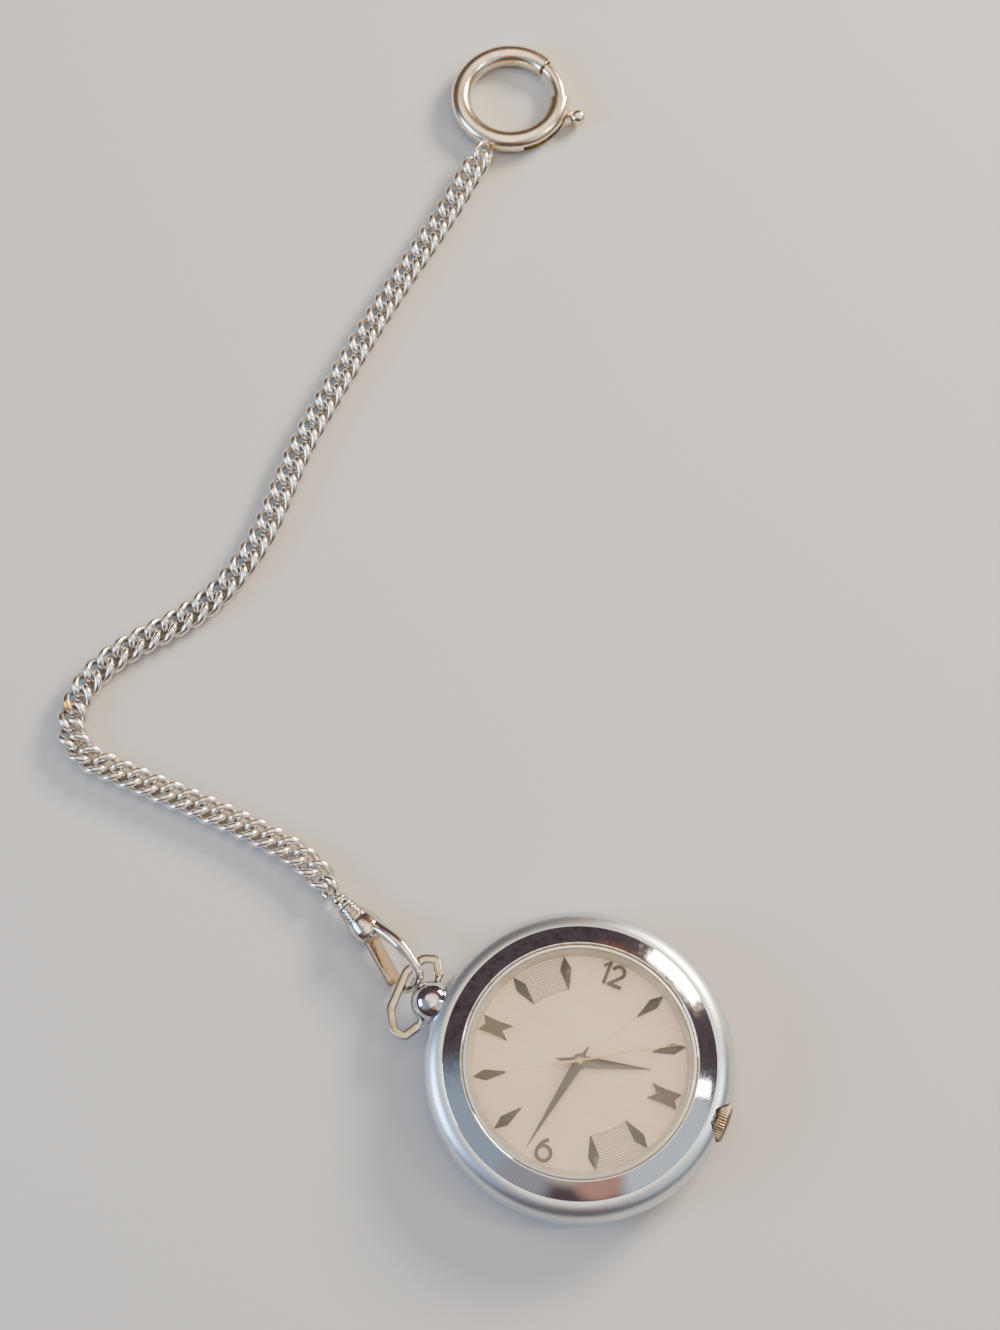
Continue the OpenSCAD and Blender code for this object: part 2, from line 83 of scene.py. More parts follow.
def linearColour(hexText):  # sRGB hex turned linear, opaque
    parts = [int(hexText.lstrip("#")[i:i + 2], 16) / 255 for i in (0, 2, 4)]
    return [c / 12.92 if c <= 0.04045 else ((c + 0.055) / 1.055) ** 2.4 for c in parts] + [1.0]


def towards(bearing, height):  # unit vector to that bearing and height
    a, h = math.radians(bearing), math.radians(height)
    return np.array([math.cos(a) * math.cos(h), math.sin(a) * math.cos(h), math.sin(h)])


def hangPanel(name, bearing, height, away, size, watts, tint):
    lamp = bpy.data.lights.new(name, "AREA")
    lamp.shape, lamp.size, lamp.size_y, lamp.energy = "RECTANGLE", size[0] * mm, size[1] * mm, watts
    lamp.color = linearColour(tint)[:3]
    panel = bpy.data.objects.new(name, lamp)
    back = towards(bearing, height)
    side = np.cross(up, back)
    side /= np.linalg.norm(side)
    axes = np.stack([side, np.cross(back, side), back], 1)
    place = np.array(studio["aim"]) + back * away
    panel.matrix_world = Matrix.Translation(place * mm) @ Matrix(axes.tolist()).to_4x4()
    bpy.context.collection.objects.link(panel)


for panelName in ("sidePanel", "windowPanel", "backPanel"):
    hangPanel(panelName, **studio[panelName])


def feed(tree, node, wired):  # each socket gets a value or the output of another node
    for socket, value in wired.items():
        if isinstance(value, bpy.types.NodeSocket):
            tree.links.new(value, node.inputs[socket])
        else:
            node.inputs[socket].default_value = value


# Adds one node with its settings and links, and gives back the output that is asked for
def addNode(tree, kind, wired, output=0, **settings):
    node = tree.nodes.new("ShaderNode" + kind)
    for setting, value in settings.items():
        setattr(node, setting, value)
    feed(tree, node, wired)
    return node.outputs[output]


# Room: each patch is laid over the wall colour by a smooth step of the cosine of the angle from its middle
def lightRoom(wall, strength, patches):
    room = bpy.data.worlds.new("dimRoom")
    room.use_nodes = True
    tree = room.node_tree
    direction = addNode(tree, "TexCoord", {}, "Generated")
    glow = linearColour(wall)
    for bearing, height, full, end, tint in patches:
        cosine = addNode(tree, "VectorMath", {0: direction, 1: towards(bearing, height)}, "Value",
                         operation="DOT_PRODUCT")
        share = addNode(tree, "MapRange", {"Value": cosine, "From Min": math.cos(math.radians(end)),
                                           "From Max": math.cos(math.radians(full))}, interpolation_type="SMOOTHSTEP")
        glow = addNode(tree, "Mix", {0: share, 6: glow, 7: linearColour(tint)}, 2, data_type="RGBA")
    feed(tree, tree.nodes["Background"], {"Color": glow, "Strength": strength})
    bpy.context.scene.world = room


lightRoom(**studio["room"])
print("camera and lights placed")


# MESHES
def unit(v):
    return v / np.linalg.norm(v, axis=-1, keepdims=True)


# Grid of points (rows, columns, 3) as quads between neighbours; it may join up along its rows, and an open
# end is closed by a fan about the mean of its last row
def surface(grid, loopRows=False):
    rows, columns = grid.shape[:2]
    index = np.arange(rows * columns).reshape(rows, columns)
    nextColumn = np.roll(index, -1, 1)
    quads = np.stack([index, nextColumn, np.roll(nextColumn, -1, 0), np.roll(index, -1, 0)], -1)
    points, faces = grid.reshape(-1, 3), [quads[:rows if loopRows else rows - 1].reshape(-1, 4)]
    if not loopRows:
        for row in (0, -1):
            hub = np.full(columns, len(points))
            points = np.vstack([points, grid[row].mean(0)])
            faces.append(np.stack([index[row], nextColumn[row], hub], -1))
    return points, faces


# Profile of (radius, height) turned round Z: x = r cos t, y = r sin t, z = h
def revolve(profile, steps):
    r, h = np.asarray(profile, float).T[:, :, None]
    t = np.linspace(0, 2 * np.pi, steps, endpoint=False)
    return np.stack([r * np.cos(t), r * np.sin(t), h + 0 * t], -1)


# Line with softened corners: a corner C is replaced by the parabola (1-t)^2 A + 2t(1-t) C + t^2 B between
# the points A and B that lie a reach away from it on its two legs
def soften(line, reach, steps=4, loop=False):
    p = np.asarray(line, float)
    p = np.vstack([p[-1:], p, p[:1]]) if loop else p
    corner, legA, legB = p[1:-1], p[:-2] - p[1:-1], p[2:] - p[1:-1]
    lengthA, lengthB = np.linalg.norm(legA, axis=1), np.linalg.norm(legB, axis=1)
    cut = np.minimum(np.broadcast_to(reach, len(corner)), 0.45 * np.minimum(lengthA, lengthB))
    a, b = corner + legA * (cut / lengthA)[:, None], corner + legB * (cut / lengthB)[:, None]
    t = np.linspace(0, 1, steps + 1)[None, :, None]
    bends = (1 - t) ** 2 * a[:, None] + 2 * t * (1 - t) * corner[:, None] + t ** 2 * b[:, None]
    bends = bends.reshape(-1, p.shape[1])
    return bends if loop else np.vstack([p[:1], bends, p[-1:]])


# Points a step apart along a flat line, each the mean of its neighbours weighted by exp(-x^2 / 2 spread^2)
def relax(line, spread, step):
    run = np.concatenate([[0], np.cumsum(np.linalg.norm(np.diff(line, axis=0), axis=1))])
    even = np.arange(0, run[-1], step)
    even = np.stack([np.interp(even, run, line[:, 0]), np.interp(even, run, line[:, 1])], 1)
    reach = int(3 * spread / step)
    on = np.arange(1, reach + 1)[:, None]
    padded = np.vstack([even[0] - (even[1] - even[0]) * on[::-1], even, even[-1] + (even[-1] - even[-2]) * on])
    bell = np.exp(-0.5 * (np.arange(-reach, reach + 1) * step / spread) ** 2)
    return np.stack([np.convolve(padded[:, i], bell / bell.sum(), "valid") for i in (0, 1)], 1)


# Section (out, side) carried along a line: point = line + size (out * (travel x side) + side * side)
def sweep(line, section, side, size=1.0, loop=False):
    travel = unit(np.roll(line, -1, 0) - np.roll(line, 1, 0) if loop else np.gradient(line, axis=0))
    side = unit(side - travel * np.sum(side * travel, -1, keepdims=True))
    out = np.cross(travel, side)
    size = np.broadcast_to(size, len(line))[:, None, None]
    return line[:, None] + size * (section[None, :, :1] * out[:, None] + section[None, :, 1:] * side[:, None])


def roundSection(r, steps=16):  # points at r (cos t, sin t)
    t = np.linspace(0, 2 * np.pi, steps, endpoint=False)
    return r * np.stack([np.cos(t), np.sin(t)], 1)


def barSection(width, thick, reach):  # a rectangle with softened corners
    w, h = width / 2, thick / 2
    return soften([(-w, -h), (w, -h), (w, h), (-w, h)], reach, 3, loop=True)


# Half round at the end of a line: it runs on by r sin f along its travel while the size falls as cos f, and
# stops just short of a point
def domeEnd(line, r, size, steps=5):
    f = np.linspace(0, np.pi / 2, steps + 1)[1:] * 0.98
    size = np.broadcast_to(size, len(line)).astype(float)
    last = unit(line[-1] - line[-2])
    line = np.vstack([line, line[-1] + last * (r * size[-1] * np.sin(f))[:, None]])
    return line, np.concatenate([size, size[-1] * np.cos(f)])


def alongX(grid):  # what stood on +Z lies along +X
    return grid[..., [2, 0, 1]]


def alongY(grid):  # what stood on +Z lies along +Y
    return grid[..., [1, 2, 0]]


# Makes one object of closed surfaces, each given as its points and whole arrays of faces: in metres, normals
# outwards, smooth but for edges over the sharp angle, with its body, the CAD nodes that it stands for and its
# material slot
def makePiece(name, surfaces, material, body, nodes, sharp=40, bevel=None, cutters=(), attributes=None):
    starts = np.cumsum([0] + [len(points) for points, _ in surfaces])
    piece = makeObject(name, np.vstack([points for points, _ in surfaces]),
                       [group + start for (_, faces), start in zip(surfaces, starts) for group in faces])
    for key, values in (attributes or {}).items():
        piece.data.attributes.new(key, "FLOAT", "POINT").data.foreach_set("value", values)
    for cutter in cutters:
        cutAway(piece, cutter)
    mesh = piece.data
    mesh.polygons.foreach_set("use_smooth", [True] * len(mesh.polygons))
    mesh.set_sharp_from_angle(angle=math.radians(sharp))
    mesh.materials.clear()
    mesh.materials.append(material)
    if bevel:
        edge = piece.modifiers.new("brokenEdges", "BEVEL")
        edge.width, edge.segments, edge.limit_method = bevel * mm, 2, "ANGLE"
        edge.angle_limit, edge.harden_normals = math.radians(12), True
    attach(piece, body)
    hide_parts(*nodes)


def makeObject(name, points, faces):
    mesh = bpy.data.meshes.new(name)
    mesh.from_pydata((points * mm).tolist(), [], sum((group.tolist() for group in faces), []))
    work = bmesh.new()
    work.from_mesh(mesh)
    bmesh.ops.recalc_face_normals(work, faces=work.faces)
    work.to_mesh(mesh)
    work.free()
    made = bpy.data.objects.new(name, mesh)
    bpy.context.collection.objects.link(made)
    return made


# Takes one closed surface out of a piece and keeps the result as the piece's own mesh
def cutAway(piece, cutter):
    tool = makeObject("cutter", *cutter)
    cut = piece.modifiers.new("cut", "BOOLEAN")
    cut.operation, cut.solver, cut.object = "DIFFERENCE", "EXACT", tool
    bpy.context.view_layer.update()
    result = bpy.data.meshes.new_from_object(piece.evaluated_get(bpy.context.evaluated_depsgraph_get()))
    piece.modifiers.remove(cut)
    piece.data = result
    bpy.data.meshes.remove(tool.data)


# MATERIALS
def startMaterial(name):  # the material, its nodes and the place on the piece that its patterns read
    material = bpy.data.materials.new(name)
    material.use_nodes = True
    return material, material.node_tree, addNode(material.node_tree, "TexCoord", {}, "Object")


# Worn metals: size of the tarnish blotches and how strong they are, size of the grain, least and greatest
# roughness, width of the hairline scratches and height of the relief
metals = {
    # Satin chrome plate on the case: a broad soft sheen, a little greyer where it is rubbed
    "satinChrome": {"tint": "#D3D9DE", "tarnish": "#B9B8B4", "spots": 2.6, "amount": 0.35, "grain": 0.09,
                    "rough": (0.30, 0.42), "scratch": 0.10, "relief": 0.0012},
    # Mirror chrome on the bezel and pendant: sharp reflections, with brown tarnish kept to the upper left, a painted
    # reflection of the brown room
    "mirrorChrome": {"tint": "#D6D6DB", "tarnish": "#8F8078", "spots": 1.1, "amount": 0.8, "grain": 0.2,
                     "rough": (0.04, 0.15), "scratch": 0.12, "relief": 0.0008, "paintedReflectionSide": 112},
    # Polished nickel plate on the clasp: bright lines on the turned edges and warm brown in the patches
    "wornNickel": {"tint": "#D6D0C6", "tarnish": "#A68C6A", "spots": 1.3, "amount": 0.7, "grain": 0.12,
                   "rough": (0.12, 0.28), "scratch": 0.12, "relief": 0.0012},
    # Nickel rubbed thin on the bow: grey plating that gives way to tan
    "bowNickel": {"tint": "#B8B2A4", "tarnish": "#8C7753", "spots": 2.2, "amount": 0.9, "grain": 0.12,
                  "rough": (0.14, 0.28), "scratch": 0.12, "relief": 0.0014},
    # Nickel worn nearly to the brass on the gate: dull tan with a soft edge light
    "gateNickel": {"tint": "#B9A286", "tarnish": "#8C7053", "spots": 1.6, "amount": 0.8, "grain": 0.12,
                   "rough": (0.20, 0.36), "scratch": 0.12, "relief": 0.0012},
    # Nickel-plated wire of the chain: bright, faintly warm, and yellow where a link is worn to the brass
    "chainNickel": {"tint": "#ECE7DF", "tarnish": "#C4AD8F", "spots": 1.5, "amount": 0.6, "grain": 0.1,
                    "rough": (0.20, 0.34), "scratch": 0.1, "relief": 0.0009, "brass": "#D9A43A"},
    # Nickel-plated tube of the spring ring: bright with a warm golden cast
    "ringNickel": {"tint": "#EFE2CA", "tarnish": "#C8AB80", "spots": 3.0, "amount": 0.7, "grain": 0.12,
                   "rough": (0.18, 0.32), "scratch": 0.12, "relief": 0.0009},
    # Knurled brass crown with its plating gone: brownish gold, dark in the grooves
    "crownBrass": {"tint": "#A3937C", "tarnish": "#5E5140", "spots": 0.8, "amount": 0.8, "grain": 0.08,
                   "rough": (0.22, 0.42), "scratch": 0.08, "relief": 0.0015},
    # Dark polished plate of the darts, bars and numerals: brown-black, lighter on the facets that face the light
    "darkPolish": {"tint": "#43382F", "tarnish": "#2C241E", "spots": 1.2, "amount": 0.5, "grain": 0.1,
                   "rough": (0.22, 0.36), "scratch": 0.08, "relief": 0.0004},
    # The same plate on the hour and minute hands, polished brighter
    "handPolish": {"tint": "#5A5044", "tarnish": "#3C342C", "spots": 2.2, "amount": 0.4, "grain": 0.1,
                   "rough": (0.16, 0.28), "scratch": 0.08, "relief": 0.0004},
    # Pale gilt of the second hand: a thin light line over the dial
    "paleGold": {"tint": "#B59A66", "tarnish": "#7C6A48", "spots": 2.0, "amount": 0.4, "grain": 0.1,
                 "rough": (0.15, 0.25), "scratch": 0.08, "relief": 0.0004},
    # Satin stainless steel of the back and the stem: even grey with fine table scratches
    "backSteel": {"tint": "#B9BBBD", "tarnish": "#8F8B85", "spots": 4.0, "amount": 0.4, "grain": 0.12,
                  "rough": (0.28, 0.42), "scratch": 0.2, "relief": 0.0018},
    # Plain brass plates of the movement: a dull yellow that shows only through the dial's hole
    "plateBrass": {"tint": "#B79A62", "tarnish": "#8C7344", "spots": 3.0, "amount": 0.4, "grain": 0.15,
                   "rough": (0.25, 0.4), "scratch": 0.2, "relief": 0.001},
}

# Wear that all of them share: where on their noises the blotches and the hairlines start and are full, the
# turns and the stretch of the two sets of hairlines, how far grain, tarnish and lines roughen the metal, and
# across which stretch the tarnish fades where it is kept to one side as a painted reflection
wear = {"blotchFrom": 0.45, "blotchTo": 0.72, "blotchDetail": 0.62, "lineFrom": 0.66, "lineTo": 0.74,
        "lineTurns": ((0.3, 0.2, 0.5), (1.1, 0.7, 2.2)), "stretch": 0.025, "grainShare": 0.5, "tarnishShare": 0.6,
        "lineShare": 0.3, "smooth": 0.15, "rough": 0.95, "lineDepth": -0.6, "strength": 0.5, "fadeFrom": -9,
        "fadeTo": 3}


# Blotches of tarnish turn the plating warmer and duller, a fine grain gives the satin or the polish, and
# hairlines in two directions catch the light
def wornMetal(name, tint, tarnish, spots, amount, grain, rough, scratch, relief, brass=None, paintedReflectionSide=None):
    material, tree, place = startMaterial(name)
    blotch = addNode(tree, "TexNoise", {"Vector": place, "Scale": 1 / (spots * mm), "Detail": 5.0,
                                        "Roughness": wear["blotchDetail"]})
    tarnishAndPaintedReflection = addNode(tree, "MapRange", {"Value": blotch, "From Min": wear["blotchFrom"], "From Max": wear["blotchTo"],
                                      "To Max": amount})
    # Painted reflection: the tarnish is kept to the side of that bearing, where it stands for the brown room mirrored
    # there
    if paintedReflectionSide is not None:  # the blotches lie on the side of that bearing
        across = addNode(tree, "VectorMath", {0: place, 1: towards(paintedReflectionSide, 0)}, "Value", operation="DOT_PRODUCT")
        share = addNode(tree, "MapRange", {"Value": across, "From Min": wear["fadeFrom"] * mm,
                                           "From Max": wear["fadeTo"] * mm})
        tarnishAndPaintedReflection = addNode(tree, "Math", {0: tarnishAndPaintedReflection, 1: share}, operation="MULTIPLY")
    fine = addNode(tree, "TexNoise", {"Vector": place, "Scale": 1 / (grain * mm), "Detail": 2.0})
    lines = []
    for turn in wear["lineTurns"]:
        stretched = addNode(tree, "Mapping", {"Vector": place, "Rotation": turn, "Scale": (1, wear["stretch"], 1)})
        streak = addNode(tree, "TexNoise", {"Vector": stretched, "Scale": 1 / (scratch * mm), "Detail": 1.0})
        lines.append(addNode(tree, "MapRange", {"Value": streak, "From Min": wear["lineFrom"],
                                                "From Max": wear["lineTo"]}))
    hairline = addNode(tree, "Math", dict(enumerate(lines)), operation="MAXIMUM")
    colour = addNode(tree, "Mix", {0: tarnishAndPaintedReflection, 6: linearColour(tint), 7: linearColour(tarnish)}, 2, data_type="RGBA")
    if brass:  # plating worn through where the piece carries the mark
        worn = addNode(tree, "Attribute", {}, "Fac", attribute_name="wornBrass")
        colour = addNode(tree, "Mix", {0: worn, 6: colour, 7: linearColour(brass)}, 2, data_type="RGBA")
    dulled = addNode(tree, "Math", {0: tarnishAndPaintedReflection, 1: wear["tarnishShare"]}, operation="MULTIPLY")
    uneven = addNode(tree, "Math", {0: fine, 1: wear["grainShare"], 2: dulled}, operation="MULTIPLY_ADD")
    scuffed = addNode(tree, "Math", {0: hairline, 1: wear["lineShare"], 2: uneven}, operation="MULTIPLY_ADD")
    roughness = addNode(tree, "MapRange", {"Value": scuffed, "From Min": wear["smooth"], "From Max": wear["rough"],
                                           "To Min": rough[0], "To Max": rough[1]})
    height = addNode(tree, "Math", {0: hairline, 1: wear["lineDepth"], 2: fine}, operation="MULTIPLY_ADD")
    bump = addNode(tree, "Bump", {"Height": height, "Strength": wear["strength"], "Distance": relief * mm})
    feed(tree, tree.nodes["Principled BSDF"], {"Metallic": 1.0, "Base Color": colour, "Roughness": roughness,
                                               "Normal": bump})
    return material


finish = {name: wornMetal(name, **values) for name, values in metals.items()}

# Clear acrylic: a soft, slightly scratched gloss that lets the dial through unchanged, with its edge painted cream
# and partly opaque as a painted image of the cream ring seen through the glass
acrylic = {"ior": 1.49, "tint": "#FFFFFF", "rough": 0.03, "scratch": 0.12, "scratchTurn": 0.9, "stretch": 0.02,
           "scratchFrom": 0.62, "scratchTo": 0.75, "edgeFrom": 14.3, "edgeTo": 14.62, "edgeShare": 0.8,
           "ringImageTint": "#F0E2C4"}


def clearAcrylic(ior, tint, rough, scratch, scratchTurn, stretch, scratchFrom, scratchTo, edgeFrom, edgeTo,
                 edgeShare, ringImageTint):
    material, tree, place = startMaterial("clearAcrylic")
    flat = addNode(tree, "VectorMath", {0: place, 1: (1, 1, 0)}, operation="MULTIPLY")
    radius = addNode(tree, "VectorMath", {0: flat}, "Value", operation="LENGTH")
    # Painted image of the cream ring: towards the edge the glass turns cream and less clear
    paintedRingImage = addNode(tree, "MapRange", {"Value": radius, "From Min": edgeFrom * mm, "From Max": edgeTo * mm})
    clear = addNode(tree, "Math", {0: paintedRingImage, 1: -edgeShare, 2: 1.0}, operation="MULTIPLY_ADD")
    colour = addNode(tree, "Mix", {0: paintedRingImage, 6: linearColour(tint), 7: linearColour(ringImageTint)}, 2,
                     data_type="RGBA")
    stretched = addNode(tree, "Mapping", {"Vector": place, "Rotation": (0, 0, scratchTurn),
                                          "Scale": (1, stretch, 1)})
    streak = addNode(tree, "TexNoise", {"Vector": stretched, "Scale": 1 / (scratch * mm)})
    roughness = addNode(tree, "MapRange", {"Value": streak, "From Min": scratchFrom, "From Max": scratchTo,
                                           "To Max": rough})
    feed(tree, tree.nodes["Principled BSDF"], {"IOR": ior, "Base Color": colour, "Transmission Weight": clear,
                                               "Roughness": roughness})
    return material


finish["clearAcrylic"] = clearAcrylic(**acrylic)

# Silvered champagne dial: fine straight brushing under lacquer, close rings engraved in the outer band of
# two sectors, their grooves darkened towards the ink as painted shade, with a line along their inner edge, and a
# printed hairline to the centre at 1 and at 8. A sector is where minus the sine of twice the clock angle is over the
# sector edge, 15 degrees to each side of its middle
dialLook = {"tint": "#FFE6C4", "shade": "#EFCDA6", "ink": "#6A5F55", "metallic": 0.12, "rough": 0.45, "coat": 0.2,
            "coatRough": 0.15, "brush": 0.16, "brushTurn": 35, "brushStretch": 0.02, "brushShare": 0.7,
            "cloud": 0.12, "cloudShare": 0.5, "toneSpan": (0.42, 0.82),
            "sectorEdge": 0.857, "band": (9.35, 13.6), "ringPitch": 0.34, "grooveShade": 0.7, "lineWidth": 0.07,
            "lineDark": 0.8, "hairlines": (30, 240), "hairSpan": (0.5, 9.4), "hairWidth": 0.0315, "hairShare": 0.75,
            "brushDepth": 0.15, "strength": 0.6, "depth": 0.02}


def champagneDial(tint, shade, ink, metallic, rough, coat, coatRough, brush, brushTurn, brushStretch, brushShare,
                  cloud, cloudShare, toneSpan, sectorEdge, band, ringPitch, grooveShade, lineWidth, lineDark,
                  hairlines, hairSpan, hairWidth, hairShare, brushDepth, strength, depth):
    material, tree, place = startMaterial("champagneDial")
    flat = addNode(tree, "VectorMath", {0: place, 1: (1000, 1000, 0)}, operation="MULTIPLY")  # in millimetres
    axes = addNode(tree, "SeparateXYZ", {0: flat}).node.outputs
    turned = addNode(tree, "Mapping", {"Vector": flat, "Rotation": (0, 0, -math.radians(brushTurn)),
                                       "Scale": (brushStretch, 1, 1)})
    known = {"x": axes["X"], "y": axes["Y"], "radius": addNode(tree, "VectorMath", {0: flat}, "Value",
                                                               operation="LENGTH"),
             "brushed": addNode(tree, "TexNoise", {"Vector": turned, "Scale": 1 / brush, "Detail": 3.0}),
             "cloudy": addNode(tree, "TexNoise", {"Vector": flat, "Scale": cloud, "Detail": 3.0})}
    sums = [  # what each is called, how it is worked out, and from which others or numbers
        ("angle", "ARCTAN2", "x", "y"), ("doubled", "MULTIPLY", "angle", 2.0), ("sine", "SINE", "doubled"),
        ("minusSine", "MULTIPLY", "sine", -1.0), ("sector", "GREATER_THAN", "minusSine", sectorEdge),
        ("past", "GREATER_THAN", "radius", band[0]), ("before", "LESS_THAN", "radius", band[1]),
        ("inBand", "MULTIPLY", "past", "before"), ("engraved", "MULTIPLY", "sector", "inBand"),
        ("phase", "MULTIPLY", "radius", 2 * math.pi / ringPitch), ("wave", "SINE", "phase"),
        ("ring", "MULTIPLY_ADD", "wave", 0.5, 0.5), ("groove", "MULTIPLY", "ring", "engraved"),
        ("offEdge", "SUBTRACT", "radius", band[0]), ("fromEdge", "ABSOLUTE", "offEdge"),
        ("onEdge", "LESS_THAN", "fromEdge", lineWidth), ("printed", "MULTIPLY", "onEdge", "sector")]
    for angle in hairlines:  # |x cos a - y sin a| is the distance from the line towards clock angle a
        s, c = math.sin(math.radians(angle)), math.cos(math.radians(angle))
        sums += [
            ("xAcross", "MULTIPLY", "x", c), ("yAcross", "MULTIPLY", "y", s),
            ("off", "SUBTRACT", "xAcross", "yAcross"), ("distance", "ABSOLUTE", "off"),
            ("near", "LESS_THAN", "distance", hairWidth),
            ("xAlong", "MULTIPLY", "x", s), ("yAlong", "MULTIPLY", "y", c), ("along", "ADD", "xAlong", "yAlong"),
            ("begun", "GREATER_THAN", "along", hairSpan[0]), ("unended", "LESS_THAN", "along", hairSpan[1]),
            ("within", "MULTIPLY", "begun", "unended"), ("line", "MULTIPLY", "near", "within"),
            ("faint", "MULTIPLY", "line", hairShare), ("printed", "MAXIMUM", "printed", "faint")]
    # The grooves of the engraved rings are darkened towards the ink: painted shade in the grooves
    sums += [
        ("clouds", "MULTIPLY", "cloudy", cloudShare), ("patchy", "MULTIPLY_ADD", "brushed", brushShare, "clouds"),
        ("darkLines", "MULTIPLY", "printed", lineDark), ("paintedGrooveShade", "MULTIPLY", "groove", grooveShade),
        ("dark", "MAXIMUM", "darkLines", "paintedGrooveShade"), ("brushHeight", "MULTIPLY", "brushed", brushDepth),
        ("height", "SUBTRACT", "brushHeight", "groove")]
    for result, operation, *terms in sums:
        known[result] = addNode(tree, "Math", {i: known.get(term, term) for i, term in enumerate(terms)},
                                operation=operation)
    share = addNode(tree, "MapRange", {"Value": known["patchy"], "From Min": toneSpan[0], "From Max": toneSpan[1]})
    toned = addNode(tree, "Mix", {0: share, 6: linearColour(tint), 7: linearColour(shade)}, 2, data_type="RGBA")
    colour = addNode(tree, "Mix", {0: known["dark"], 6: toned, 7: linearColour(ink)}, 2, data_type="RGBA")
    bump = addNode(tree, "Bump", {"Height": known["height"], "Strength": strength, "Distance": depth * mm})
    feed(tree, tree.nodes["Principled BSDF"], {"Metallic": metallic, "Roughness": rough, "Coat Weight": coat,
                                               "Coat Roughness": coatRough, "Base Color": colour, "Normal": bump})
    return material


finish["champagneDial"] = champagneDial(**dialLook)

# Cream lacquered ring: smooth and a little glossy, with slight yellowing
creamLook = {"tint": "#E9DCC2", "aged": "#D2C09B", "spots": 5.0, "start": 0.35, "full": 0.7, "rough": 0.3,
             "coat": 0.3}


def creamLacquer(tint, aged, spots, start, full, rough, coat):
    material, tree, place = startMaterial("creamLacquer")
    cloud = addNode(tree, "TexNoise", {"Vector": place, "Scale": 1 / (spots * mm), "Detail": 4.0})
    share = addNode(tree, "MapRange", {"Value": cloud, "From Min": start, "From Max": full})
    colour = addNode(tree, "Mix", {0: share, 6: linearColour(tint), 7: linearColour(aged)}, 2, data_type="RGBA")
    feed(tree, tree.nodes["Principled BSDF"], {"Base Color": colour, "Roughness": rough, "Coat Weight": coat})
    return material


finish["creamLacquer"] = creamLacquer(**creamLook)


# Matt pale card for the table, with the faintest mottling
def paleCard(tint, shade):
    material, tree, place = startMaterial("paleCard")
    cloud = addNode(tree, "TexNoise", {"Vector": place, "Scale": 6.0, "Detail": 3.0})
    colour = addNode(tree, "Mix", {0: cloud, 6: linearColour(tint), 7: linearColour(shade)}, 2, data_type="RGBA")
    feed(tree, tree.nodes["Principled BSDF"], {"Base Color": colour, "Roughness": 0.85})
    return material


floorLook = studio["floor"]
floorMesh = bpy.data.meshes.new("tableTop")
reach, low = floorLook["reach"] * mm, -floorLook["below"] * mm
floorMesh.from_pydata([(-reach, -reach, low), (reach, -reach, low), (reach, reach, low), (-reach, reach, low)], [],
                      [(0, 1, 2, 3)])
floorMesh.materials.append(paleCard(floorLook["tint"], floorLook["shade"]))
tableTop = bpy.data.objects.new("tableTop", floorMesh)
bpy.context.collection.objects.link(tableTop)
print("finishes mixed")

# CASE
case = {"radius": 20.0, "edgeRadius": 2.9, "edgeHeight": 4.2, "boreRadius": 14.6, "seatRadius": 14.95,
        "seatHeight": 6.85, "notchRadius": 2.9, "notchDepth": 18.1}


def caseEdge(grow):  # the rounded edge from its lowest to its highest point, as (radius, height)
    t = np.linspace(-np.pi / 2, np.pi / 2, 48)
    r = case["edgeRadius"] + grow
    return np.stack([case["radius"] - case["edgeRadius"] + r * np.cos(t), case["edgeHeight"] + r * np.sin(t)], 1)


def caseRing(radius, edgeRadius, edgeHeight, boreRadius, seatRadius, seatHeight, notchRadius, notchDepth):
    edge = caseEdge(0)
    top = edgeHeight + edgeRadius
    profile = np.vstack([[(boreRadius, edge[0, 1])], edge, [(seatRadius, top), (seatRadius, seatHeight),
                                                           (boreRadius, seatHeight)]])
    cutProfile = [(notchRadius, notchDepth), (notchRadius, radius - 0.25), (notchRadius + 0.3, radius + 0.4)]
    notch = surface(alongX(revolve(cutProfile, 96)) + up * edgeHeight)  # a well for the crown, flared at the rim
    makePiece("caseRing", [surface(revolve(profile, 300), loopRows=True)], finish["satinChrome"], "watch",
              ["case_middle"], cutters=[notch])


caseRing(**case)

backPlate = {"corner": 0.25, "profile": [
    (0.4, 0.0), (12.5, 0.0), (14.6, 0.28), (16.1, 0.75), (16.6, 0.95), (16.6, 1.25), (0.4, 1.25)]}
backShape = revolve(soften(backPlate["profile"], backPlate["corner"]), 240)
makePiece("backPlate", [surface(backShape)], finish["backSteel"], "watch", ["case_back"])

bezel = {"profile": [(14.9, 7.15), (17.5, 7.15), (17.5, 7.36), (15.08, 8.45), (14.9, 8.36)], "corner": 0.14}
bezelShape = revolve(soften(bezel["profile"], bezel["corner"], 5, loop=True), 360)
makePiece("slopingBezel", [surface(bezelShape, loopRows=True)], finish["mirrorChrome"], "watch", ["bezel"])

crystal = {"radius": 14.85, "wall": 0.32, "foot": 6.9, "shoulder": 8.4, "top": 10.0, "soft": 0.5}


